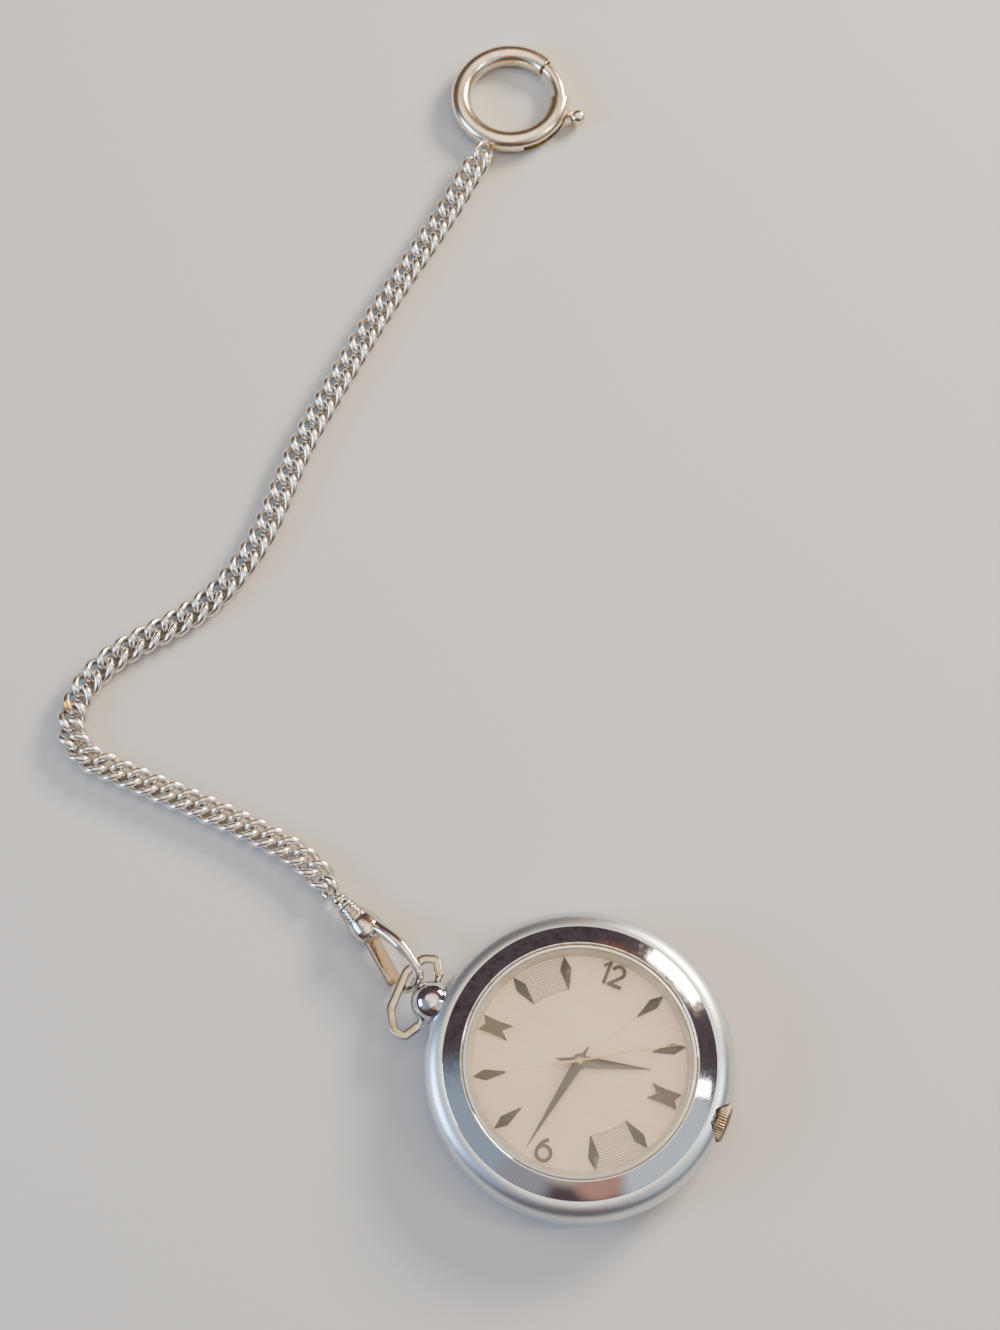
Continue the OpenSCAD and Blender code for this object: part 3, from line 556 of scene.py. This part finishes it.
# Domed glass: outside z = top - R + sqrt(R^2 - r^2) down to a softened shoulder and a straight wall, and
# the same shape a wall's thickness further in
def domedCrystal(radius, wall, foot, shoulder, top, soft):
    rise = top - shoulder
    ballRadius = (radius ** 2 + rise ** 2) / (2 * rise)

    def shell(inset):
        r = np.linspace(0.02, radius - inset - 1.2, 40)
        h = top - ballRadius + np.sqrt((ballRadius - inset) ** 2 - r ** 2)
        endR = radius - inset
        endH = top - ballRadius + math.sqrt((ballRadius - inset) ** 2 - endR ** 2)
        turn = soften([(r[-1], h[-1]), (endR, endH), (endR, foot)], soft, 10)
        return np.vstack([np.stack([r, h], 1), turn[1:]])

    makePiece("domedCrystal", [surface(revolve(np.vstack([shell(0), shell(wall)[::-1]]), 240))],
              finish["clearAcrylic"], "watch", ["crystal"], sharp=60)


domedCrystal(**crystal)

dial = {"radius": 14.3, "hole": 0.95, "bottom": 6.35, "top": 6.65}
dialShape = revolve([(dial["hole"], dial["bottom"]), (dial["radius"], dial["bottom"]), (dial["radius"], dial["top"]),
                     (dial["hole"], dial["top"])], 240)
makePiece("dialPlate", [surface(dialShape, loopRows=True)], finish["champagneDial"], "watch", ["dial"])

innerRing = {"profile": [(13.62, 6.68), (14.56, 6.68), (14.56, 6.86), (14.78, 6.86), (14.78, 6.89), (14.48, 6.89),
                         (14.48, 7.82), (14.2, 7.82), (13.85, 7.3)], "corner": 0.1}
innerShape = revolve(soften(innerRing["profile"], innerRing["corner"], 3, loop=True), 300)
makePiece("innerRing", [surface(innerShape, loopRows=True)], finish["creamLacquer"], "watch", ["dial_ring"])
print("case built")

# DIAL FURNITURE
marks = {"middle": 11.5, "length": 4.2, "foot": 6.68, "dartWidth": 1.45, "dartBroad": 0.36, "dartHeight": 0.42,
         "dartWall": 0.16, "innerTip": 0.09, "outerTip": 0.07, "barWidth": 2.0, "barLength": 4.0, "barHeight": 0.38,
         "outerNotch": 0.6, "innerNotch": 1.1, "waist": 0.1, "bevel": 0.05}


def atHour(points, hour):  # a piece drawn with +Y outwards goes to its hour, at the markers' middle radius
    a = math.radians(30 * hour)
    p = points + np.array([0, marks["middle"], marks["foot"]])
    return np.stack([p[:, 0] * math.cos(a) + p[:, 1] * math.sin(a), p[:, 1] * math.cos(a) - p[:, 0] * math.sin(a),
                     p[:, 2]], 1)


# Flat outline given a thickness: the bottom ring at 0 and the top ring at the height, both closed
def slab(outline, height):
    flat = np.hstack([np.asarray(outline, float), np.zeros((len(outline), 1))])
    points = np.vstack([flat, flat + up * height])
    n = len(flat)
    i = np.arange(n)
    return points, [np.stack([i, (i + 1) % n, (i + 1) % n + n, i + n], 1), np.stack([i[::-1], i + n])]


# Roofed dart: a kite with cut tips, whose top rises to a point over its broadest part
def dart():
    outer, half = marks["length"] / 2, marks["dartWidth"] / 2
    broad, near, far = outer - marks["length"] * marks["dartBroad"], marks["innerTip"], marks["outerTip"]
    outline = [(-near, -outer), (near, -outer), (half, broad), (far, outer), (-far, outer), (-half, broad)]
    foot = np.array([(x, y, 0) for x, y in outline])
    points = np.vstack([foot, foot + up * marks["dartWall"], [(0, broad, marks["dartHeight"])]])
    i = np.arange(6)
    walls = np.stack([i, (i + 1) % 6, (i + 1) % 6 + 6, i + 6], 1)
    return points, [walls, np.stack([i + 6, (i + 1) % 6 + 6, np.full(6, 12)], 1), i[None, ::-1]]


# Swallow-tailed bar, its deeper notch towards the centre
def notchedBar():
    w, e = marks["barWidth"] / 2, marks["barLength"] / 2
    waist = w - marks["waist"]
    return slab([(-w, -e), (0, -e + marks["innerNotch"]), (w, -e), (waist, 0), (w, e), (0, e - marks["outerNotch"]),
                 (-w, e), (-waist, 0)], marks["barHeight"])


for name, (points, faces), hours in (("dart", dart(), (1, 2, 4, 5, 7, 8, 10, 11)), ("bar", notchedBar(), (3, 9))):
    for hour in hours:
        makePiece(f"{name}{hour}", [(atHour(points, hour), faces)], finish["darkPolish"], "watch",
                  [f"marker_{hour}"], sharp=15, bevel=marks["bevel"])

strokeBar = {"depth": 0.28, "corner": 0.07}
figures = {"middle": 12.0, "height": 3.0, "width": 0.44, "oneAt": -0.9, "flag": [(-0.95, 0.14), (-1.65, 0.85)],
           "flagWidth": 0.3, "twoAt": -0.3, "bowl": 0.75, "heel": (-0.25, 0.24), "foot": (-0.45, 1.45), "loop": 0.93,
           "back": 2.2, "sink": -0.01}


# Stroke of a numeral: a flat bar carried along a drawn line
def stroke(line, width, lift=0.0, loop=False):
    flat = np.asarray(line, float)
    depth, corner = strokeBar["depth"], strokeBar["corner"]
    path = np.hstack([flat, np.full((len(flat), 1), marks["foot"] + depth / 2 + lift)])
    return surface(sweep(path, barSection(width, depth, corner), up, loop=loop), loopRows=loop)


def arcLine(centre, r, start, end, steps):  # points at r (cos t, sin t) about the centre
    t = np.radians(np.linspace(start, end, steps))
    return np.stack([centre[0] + r * np.cos(t), centre[1] + r * np.sin(t)], 1)


# The 12: a stem and its flag, then a bowl run into a slant over a straight foot. The 6: a loop with a curved
# back. Strokes that cross another one sink a hair below it
def numerals(middle, height, width, oneAt, flag, flagWidth, twoAt, bowl, heel, foot, loop, back, sink):
    base, top = middle - height / 2, middle + height / 2
    one = [stroke([(oneAt, base), (oneAt, top)], width),
           stroke([(x, top - down) for x, down in flag], flagWidth, sink)]
    curve = arcLine((twoAt + bowl, top - bowl - width / 2), bowl, 172, -38, 24)
    two = stroke(np.vstack([curve, [(heel[0], base + heel[1])]]), width)
    under = stroke([(x, base + width / 2) for x in foot], width, sink)
    makePiece("twelve", one + [two, under], finish["darkPolish"], "watch", ["numeral_12"], sharp=35)
    low = -middle - height / 2 + loop + width / 2
    ring = stroke(arcLine((0, low), loop, 0, 360, 33)[:-1], width, loop=True)
    tail = stroke(arcLine((back - loop, low), back, 124, 180, 16), width, sink)
    makePiece("six", [ring, tail], finish["darkPolish"], "watch", ["numeral_6"], sharp=35)


numerals(**figures)

hands = {
    "hour": {"angle": 74.5, "length": 9.2, "tail": 3.1, "width": 1.5, "broad": 1.1, "height": 7.2, "hub": 1.0,
             "pipe": 0.8, "ridge": 0.22},
    "minute": {"angle": 190, "length": 13.0, "tail": 2.2, "width": 1.3, "broad": 1.1, "height": 7.6, "hub": 0.8,
               "pipe": 0.55, "ridge": 0.22},
}


def turnClock(points, angle):  # clockwise from 12 by the angle
    a = math.radians(angle)
    x, y, z = points.T
    return np.stack([x * math.cos(a) + y * math.sin(a), y * math.cos(a) - x * math.sin(a), z], 1)


# Dauphine hand: a long kite whose two halves slope up to a ridge, over a round hub on its pipe
def dauphine(name, angle, length, tail, width, broad, height, hub, pipe, ridge):
    outline = [(0.03, length), (-0.03, length), (-width / 2, broad), (-0.05, -tail), (0.05, -tail),
               (width / 2, broad)]
    foot = np.array([(x, y, 0) for x, y in outline])
    top = np.array([(0, length - 0.1, 0.1), (0, broad, ridge), (0, -tail + 0.1, 0.1)])
    points = np.vstack([foot, foot + up * 0.05, top])
    i = np.arange(6)
    roof = [[6, 7, 12], [7, 8, 13, 12], [8, 9, 14, 13], [9, 10, 14], [10, 11, 13, 14], [11, 6, 12, 13]]
    faces = [i[None, ::-1], np.stack([i, (i + 1) % 6, (i + 1) % 6 + 6, i + 6], 1)] + [np.array([f]) for f in roof]
    blade = (turnClock(points + up * height, angle), faces)
    post = surface(revolve(soften([(pipe, dial["top"] - 0.2), (pipe, height + 0.01), (hub, height + 0.02),
                                   (hub, height + ridge - 0.02), (hub - 0.1, height + ridge + 0.01),
                                   (0.35, height + ridge + 0.01)], 0.05), 64))
    makePiece(name + "Hand", [blade, post], finish["handPolish"], name, [name + "_hand"], sharp=8)


for name in ("hour", "minute"):
    dauphine(name, **hands[name])

sweepHand = {"angle": 59, "length": 12.9, "tail": 3.4, "height": 8.0, "thick": 0.13}


# Second hand: a needle that tapers to its tip, with a slim leaf for a tail and a small capped hub
def needle(angle, length, tail, height, thick):
    y = np.array([-tail, -tail + 0.35, -tail + 1.1, -0.9, 0.0, 1.2, length * 0.6, length])
    half = np.array([0.05, 0.2, 0.24, 0.14, 0.12, 0.11, 0.085, 0.05])
    outline = np.vstack([np.stack([half, y], 1), np.stack([-half, y], 1)[::-1]])
    points, faces = slab(outline, thick)
    cap = surface(revolve(soften([(0.28, dial["top"]), (0.28, height - 0.02), (0.5, height - 0.01),
                                  (0.5, height + 0.18), (0.3, height + 0.23), (0.02, height + 0.23)], 0.05), 48))
    makePiece("secondHand", [(turnClock(points + up * height, angle), faces), cap], finish["paleGold"], "second",
              ["second_hand"], sharp=30)


needle(**sweepHand)
print("dial furnished")

# CROWN AND PENDANT
crown = {"at": 18.45, "height": 4.2, "radius": 2.45, "thick": 1.9, "teeth": 40, "depth": 0.13}


# Knurled crown: radius falls by depth * |cos(teeth t / 2)|^4 in each groove, except on the domed face
def knurledCrown(at, height, radius, thick, teeth, depth):
    profile = soften([(0.9, 0.0), (radius - 0.25, 0.0), (radius, 0.22), (radius, thick - 0.5),
                      (radius - 0.35, thick - 0.12), (0.9, thick)], 0.14, 4)
    grid = revolve(profile, teeth * 10)
    t = np.linspace(0, 2 * np.pi, teeth * 10, endpoint=False)
    r = np.asarray(profile)[:, 0]
    share = np.clip((r - (radius - 0.4)) / 0.3, 0, 1)
    fall = 1 - share[:, None] * depth * np.abs(np.cos(teeth * t / 2)) ** 4 / r[:, None]
    grid[..., :2] *= fall[..., None]
    makePiece("knurledCrown", [surface(alongX(grid) + np.array([at, 0, height]))], finish["crownBrass"], "crown",
              ["crown"], sharp=50)


knurledCrown(**crown)

pendant = {"at": (-20.5, 0.4, 4.2), "radius": 2.85, "gap": 0.05, "inner": 14, "low": 1.2, "high": 7.2,
           "pivotX": -21.0, "hole": 0.5, "holeSpan": (1.8, 4)}


# Ball cut back to the case's rounded edge, with a hole each side for the bow's pins
def ballPendant(at, radius, gap, inner, low, high, pivotX, hole, holeSpan):
    t = np.linspace(0.02, np.pi - 0.02, 64)
    ball = alongX(revolve(np.stack([radius * np.sin(t), -radius * np.cos(t)], 1), 96)) + np.array(at)
    body = surface(revolve(np.vstack([[(inner, low)], caseEdge(gap), [(inner, high)]]), 300), loopRows=True)
    holes = [surface(alongY(revolve([(hole, s * y) for y in holeSpan], 32)) + np.array([pivotX, at[1], at[2]]))
             for s in (-1, 1)]
    makePiece("ballPendant", [surface(ball)], finish["mirrorChrome"], "watch", ["pendant"],
              cutters=[body] + holes)


ballPendant(**pendant)

bow = {"pivot": (-21.0, 0.4, 4.2), "droop": 14, "half": [(0, 3.5), (1.2, 5.45), (2.9, 5), (4.4, 2.65)],
       "width": 1.05, "thick": 0.85, "corner": 0.14, "bend": 0.5, "pin": 0.42, "pinRun": (1.95, 2.8, 3.6)}


# Hexagonal bow: a flat bar with broken edges carried along straight legs with softened bends, hung at an
# angle from its two pins
def hexagonBow(pivot, droop, half, width, thick, corner, bend, pin, pinRun):
    side = np.array([(-x, y, 0.0) for x, y in half])
    line = soften(np.vstack([side, (side * [1, -1, 1])[::-1]]), bend, 5)
    parts = [sweep(line, barSection(width, thick, corner), up)]
    for s in (1, -1):
        leg, size = domeEnd(np.array([(0, s * y, 0) for y in pinRun]), pin, 1.0)
        parts.append(sweep(leg, roundSection(pin), up, size))
    a = math.radians(droop)
    turn = np.array([[math.cos(a), 0, -math.sin(a)], [0, 1, 0], [math.sin(a), 0, math.cos(a)]])
    makePiece("hexagonBow", [surface(p @ turn.T + np.array(pivot)) for p in parts], finish["bowNickel"], "bow",
              ["bow"], sharp=50)


hexagonBow(**bow)
print("crown, pendant and bow built")

# CLASP, drawn in its own plane: first axis along the shank to the nose, second from the gate to the spine
clasp = {"at": (-32.82, 6.62, 2.5), "turn": -25, "rise": 7, "lean": 45}


# Clasp axes in the frame: leant about its own length, then raised towards the nose, then turned on the table
def onClasp(points):
    along = towards(clasp["turn"], clasp["rise"])
    level = towards(clasp["turn"] + 90, 0)
    top = np.cross(along, level)
    c, s = math.cos(math.radians(clasp["lean"])), math.sin(math.radians(clasp["lean"]))
    axes = np.stack([along, level * c + top * s, top * c - level * s])
    return points @ axes + np.array(clasp["at"])


hook = {"root": (0.8, 1.2), "rise": 15, "straight": 1.95, "back": 0.3, "spread": 0.28, "step": 0.12, "cut": 0.4,
        "bends": ((12, 23), (12, 14), (1.15, 66), (8, 18), (2, 52)),
        "taper": ((0, 1.5, 5.0, 7.0, 9.6, 11.2, 13.0, 14.5), (0.92, 0.84, 0.88, 0.68, 0.62, 0.56, 0.5, 0.46)),
        "collar": [(0.1, -0.6), (0.68, -0.6), (0.68, -3.4), (1.22, -3.4), (1.42, -3.24), (1.42, -3.04), (1.16, -2.88),
                   (1.18, -2.76), (1.52, -2.6), (1.54, -2.44), (1.3, -2.28), (1.32, -2.18), (1.66, -2.02),
                   (1.68, -1.86), (1.46, -1.7), (1.5, -1.6), (1.86, -1.42), (1.92, -1.22), (1.76, -1.08),
                   (1.8, -0.96), (2.08, -0.78), (2.16, -0.3), (2.2, 0.25), (2.2, 0.95), (1.92, 1.75), (1.3, 2.18),
                   (0.1, 2.2)],
        "corner": 0.08, "slotAlong": (0.6, 4.6), "slotAcross": (-4, 0.2), "slotHalf": 1.36, "pin": 0.3,
        "pinHalf": 1.75}
gateHinge = (1.5, -0.65)


# Hook: a straight leg and five bends run into one another, relaxed into one line and tapered to a round tip,
# on a turned collar that is bored for the shank and slotted for the gate, with the gate's pin across the slot
def swivelHook(root, rise, straight, back, spread, step, cut, bends, taper, collar, corner, slotAlong, slotAcross,
               slotHalf, pin, pinHalf):
    h, spot = math.radians(rise), np.array(root)
    pieces = [spot + np.linspace(0, straight, 20)[:, None] * [math.cos(h), math.sin(h)]]
    spot = pieces[0][-1]
    for r, angle in bends:  # spot + r (sin h - sin(h - t), cos(h - t) - cos h) bends to the right from heading h
        t = np.linspace(0 if len(pieces) == 1 else back / r, math.radians(angle), 24)
        arc = spot + r * np.stack([math.sin(h) - np.sin(h - t), np.cos(h - t) - math.cos(h)], 1)
        pieces.append(arc)
        h -= math.radians(angle)
        spot = arc[-1] - back * np.array([math.cos(h), math.sin(h)])
    flat = relax(np.vstack(pieces), spread, step)
    flat = flat[:len(flat) - int(cut / step)]
    run = np.concatenate([[0], np.cumsum(np.linalg.norm(np.diff(flat, axis=0), axis=1))])
    line, size = domeEnd(np.hstack([flat, np.zeros((len(flat), 1))]), 1.0, np.interp(run, *taper))
    bar = surface(onClasp(sweep(line, roundSection(1.0, 28), up, size)))
    (low, high), z = slotAcross, slotHalf
    slot = np.array([[(x, low, -z), (x, high, -z), (x, high, z), (x, low, z)] for x in slotAlong], float)
    makePiece("hookCollar", [surface(onClasp(alongX(revolve(soften(collar, corner, 3), 72))))], finish["wornNickel"],
              "watch", ["swivel_hook"], cutters=[surface(onClasp(slot))])
    makePiece("hookBar", [bar], finish["wornNickel"], "watch", ["swivel_hook"])
    rod = revolve([(pin, -pinHalf), (pin, pinHalf)], 24) + np.array([*gateHinge, 0])
    makePiece("gatePin", [surface(onClasp(rod))], finish["wornNickel"], "watch", ["swivel_hook"])


swivelHook(**hook)

gate = {"tip": (8.15, -2.85), "start": 0.55, "width": 2.5, "thick": 0.65, "corner": 0.13, "barrel": 0.7, "bore": 0.38}


# Gate: a flat bar with broken edges, a little narrower at its tip, on a bored barrel round the hinge pin
def swivelGate(tip, start, width, thick, corner, barrel, bore):
    span = np.array(tip) - gateHinge
    length = np.linalg.norm(span)
    t = np.linspace(start, length, 40)
    line = np.hstack([gateHinge + span / length * t[:, None], np.zeros((40, 1))])
    size = np.interp(t, [0, length - 0.5, length - 0.12, length], [1, 1, 0.94, 0.8])
    plate = surface(onClasp(sweep(line, barSection(thick, width, corner), up, size)))
    w = width / 2
    ring = [(bore, -w), (barrel - 0.1, -w), (barrel, -w + 0.1), (barrel, w - 0.1), (barrel - 0.1, w), (bore, w)]
    knuckle = surface(onClasp(revolve(ring, 40) + np.array([*gateHinge, 0])), loopRows=True)
    makePiece("swivelGate", [plate, knuckle], finish["gateNickel"], "gate", ["swivel_gate"])


swivelGate(**gate)


# Wire ring of that radius in the plane leant by an angle about its own X axis: middle + r (cos t, sin t cos a,
# sin t sin a), with a round wire carried along it
def leantRing(middle, radius, wire, lean):
    t, a = np.linspace(0, 2 * np.pi, 60, endpoint=False), math.radians(lean)
    line = radius * np.stack([np.cos(t), np.sin(t) * math.cos(a), np.sin(t) * math.sin(a)], 1) + np.array(middle)
    return sweep(line, roundSection(wire), np.array([0, -math.sin(a), math.cos(a)]), loop=True)


eye = {"at": -7.3, "radius": 1.37, "wire": 0.45, "turn": 10, "corner": 0.08,
       "shank": [(0.1, -5.95), (0.75, -5.82), (0.93, -5.42), (1.18, -5.12), (1.2, -4.9), (1.18, -4.7), (0.95, -4.42),
                 (0.98, -4.02), (1.28, -3.84), (1.3, -3.66), (1.26, -3.5), (0.6, -3.48), (0.6, -0.85), (0.1, -0.8)]}


# Eye: a turned shank with two beads, ending in a round wire ring
def swivelEye(at, radius, wire, turn, corner, shank):
    loop = surface(onClasp(leantRing((at, 0, 0), radius, wire, turn)), loopRows=True)
    turned = surface(onClasp(alongX(revolve(soften(shank, corner, 3), 60))))
    makePiece("swivelEye", [loop, turned], finish["wornNickel"], "watch", ["swivel_eye"])


swivelEye(**eye)
print("clasp built")

# CHAIN
chain = {"links": 59, "first": 3.2, "last": 148.8, "length": 3.9, "width": 3.1, "wire": 1.06, "twist": -56,
         "roll": (10, -10), "lift": ((0, 1.6, 11, 135, 150.3, 160), (0.8, 0.8, 0, 0, 0.25, 0.25)), "glance": 1.2,
         "steps": 48, "sides": 12, "wornAt": (-82.2, 19.58, 2.2), "wornReach": 1.1, "wornSharp": 1.6}
route = np.array([
    (-62.3, 127), (-62.4, 120.8), (-63.1, 114), (-64.1, 106), (-65.6, 96), (-66.6, 88), (-67.5, 79), (-68.1, 72),
    (-68.4, 66), (-68.2, 60), (-68, 54), (-68.5, 48.6), (-70.1, 42.4), (-72.9, 37.2), (-76.6, 32.4), (-79.6, 28),
    (-81.2, 23.6), (-81.3, 19.6), (-79.8, 15.9), (-76.4, 14), (-72.2, 13.75), (-66, 13.6), (-59.8, 13.5),
    (-53.8, 13.25), (-48.2, 12.75), (-44.3, 12.05), (-40.4, 10.4), (-36.2, 7.7), (-32, 4.9)])


# Smooth curve through the route: 0.5 (2B + (C-A) t + (2A-5B+4C-D) t^2 + (3B-A-3C+D) t^3) between B and C
def smoothRoute(points, steps=12):
    a, b, c, d = points[:-3, None], points[1:-2, None], points[2:-1, None], points[3:, None]
    t = (np.arange(steps) / steps)[None, :, None]
    curve = 0.5 * (2 * b + (c - a) * t + (2 * a - 5 * b + 4 * c - d) * t ** 2 + (3 * b - a - 3 * c + d) * t ** 3)
    return np.vstack([curve.reshape(-1, 2), points[-2:-1]])


# Curb links: each is an oval of the given length and width, measured to the middle of its wire, whose plane
# turns by twist * cos t from one end to the other. It heads from a glance behind it to one ahead, is rolled
# about the route, set down by its own lowest point and lifted where the end links hang in the lug and the eye
def curbChain(links, first, last, length, width, wire, twist, roll, lift, glance, steps, sides, wornAt, wornReach,
              wornSharp):
    line = smoothRoute(route)
    run = np.concatenate([[0], np.cumsum(np.linalg.norm(np.diff(line, axis=0), axis=1))])

    def place(s):
        return np.stack([np.interp(s, run, line[:, 0]), np.interp(s, run, line[:, 1])], -1)

    s = np.linspace(first, last, links)
    heading = place(s + glance) - place(s - glance)
    heading = np.arctan2(heading[:, 1], heading[:, 0])
    t = 2 * np.pi * (np.arange(steps) + 0.5) / steps
    turn = np.radians(twist * np.cos(t) + np.linspace(*roll, links)[:, None])
    x, y = length / 2 * np.cos(t), width / 2 * np.sin(t)
    middle = np.stack([np.broadcast_to(x, turn.shape), y * np.cos(turn), y * np.sin(turn)], -1)
    travel = unit(np.roll(middle, -1, 1) - np.roll(middle, 1, 1))
    side = unit(np.cross(travel, middle))
    out = np.cross(side, travel)
    ring = roundSection(wire / 2, sides)
    skin = middle[:, :, None] + ring[:, :1] * out[:, :, None] + ring[:, 1:] * side[:, :, None]
    skin[..., 2] -= skin[..., 2].min((1, 2), keepdims=True)
    skin[..., 2] += np.interp(s[:, None, None] + skin[..., 0], *lift)
    c, n = np.cos(heading)[:, None, None], np.sin(heading)[:, None, None]
    at = place(s)[:, None, None]
    world = np.stack([c * skin[..., 0] - n * skin[..., 1] + at[..., 0],
                      n * skin[..., 0] + c * skin[..., 1] + at[..., 1], skin[..., 2]], -1)
    away = np.linalg.norm(world.reshape(-1, 3) - wornAt, axis=1)
    worn = np.clip(wornSharp - wornSharp * away / wornReach, 0, 1).astype(np.float32)
    makePiece("curbChain", [surface(link, loopRows=True) for link in world], finish["chainNickel"], "watch",
              ["chain"], sharp=80, attributes={"wornBrass": worn})


curbChain(**chain)
print("chain linked")

# SPRING RING
ringPlace = np.array([-62.3, 130.0, 1.57])
ringMiddle = 7.35


def arcRound(start, end, steps):  # points on the level circle along the middle of the tube
    t = np.radians(np.linspace(start, end, steps))
    return ringMiddle * np.stack([np.cos(t), np.sin(t), 0 * t], 1)


ringShell = {"tube": 1.55, "bore": 1.15, "mouth": (20, 67), "lip": 0.12, "slot": (-55, 8), "slotOut": 1.3,
             "slotSize": (1.8, 1.0, 0.2), "lug": 1.6, "lugWire": 0.425, "lugAt": 10.5, "lugHeight": 0.5,
             "lugLean": 125}


# Tube round the level circle from one rounded lip of the mouth to the other, bored for the bolt and slotted
# for its knob; the wire eye soldered to its outside is a small ring that leans about the chain
def ringTube(tube, bore, mouth, lip, slot, slotOut, slotSize, lug, lugWire, lugAt, lugHeight, lugLean):
    inset = math.degrees(lip / ringMiddle)
    line = arcRound(mouth[1] + inset, mouth[0] + 360 - inset, 200)
    line = np.vstack([line[0] + unit(line[0] - line[1]) * lip, line, line[-1] + unit(line[-1] - line[-2]) * lip])
    size = np.concatenate([[1 - lip / tube], np.ones(200), [1 - lip / tube]])
    outside, inside = sweep(line, roundSection(tube, 32), up, size), sweep(line, roundSection(bore, 32), up)
    shell = surface(np.concatenate([outside, inside[::-1]]) + ringPlace, loopRows=True)
    channel = sweep(arcRound(*slot, 60) * (ringMiddle + slotOut) / ringMiddle, barSection(*slotSize), up)
    makePiece("ringTube", [shell], finish["ringNickel"], "watch", ["spring_ring"],
              cutters=[surface(channel + ringPlace)])
    loop = leantRing((lugAt, 0, lugHeight), lug, lugWire, lugLean)
    loop = np.stack([loop[..., 1], -loop[..., 0], loop[..., 2]], -1)  # turned a quarter clockwise to the chain's side
    makePiece("ringLug", [surface(loop + ringPlace, loopRows=True)], finish["ringNickel"], "watch", ["spring_ring"])


ringTube(**ringShell)

boltLook = {"radius": 1.05, "ends": (-4, 64), "angle": 4, "neck": 0.4, "bead": 0.6, "beadAt": 9.2, "knob": 1.2,
            "knobAt": 10.5}


# Bolt: a thinner bent bar that fills the mouth, with a bead and a ball on a neck to draw it back; each has
# the outline r (sin f, -cos f), the bead's from the neck to the waist where the two balls cross
def ringBolt(radius, ends, angle, neck, bead, beadAt, knob, knobAt):
    line, size = domeEnd(arcRound(*ends, 80), radius, 1.0)
    bar = sweep(line, roundSection(radius, 24), up, size)
    cross = (knobAt ** 2 - beadAt ** 2 - knob ** 2 + bead ** 2) / (2 * (knobAt - beadAt))
    waist = math.sqrt(bead ** 2 - (cross - beadAt) ** 2)
    f = np.linspace(math.asin(neck / bead), math.pi - math.asin(waist / bead), 16)
    g = np.linspace(math.asin(waist / knob), math.pi - 0.03, 32)
    profile = np.vstack([[(0.05, ringMiddle), (neck, ringMiddle)],
                         np.stack([bead * np.sin(f), beadAt - bead * np.cos(f)], 1),
                         np.stack([knob * np.sin(g), knobAt - knob * np.cos(g)], 1)])
    pull = alongX(revolve(profile, 48))
    c, s = math.cos(math.radians(angle)), math.sin(math.radians(angle))
    pull = np.stack([pull[..., 0] * c - pull[..., 1] * s, pull[..., 0] * s + pull[..., 1] * c, pull[..., 2]], -1)
    makePiece("ringBolt", [surface(bar + ringPlace), surface(pull + ringPlace)], finish["ringNickel"], "bolt",
              ["spring_bolt"])


ringBolt(**boltLook)
print("spring ring built")

# CAD solids that stay as they are, mostly hidden, get their own metal
for node, metal in (("movement", "plateBrass"), ("crown_stem", "backSteel")):
    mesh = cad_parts[node].data
    mesh.materials.clear()
    mesh.materials.append(finish[metal])
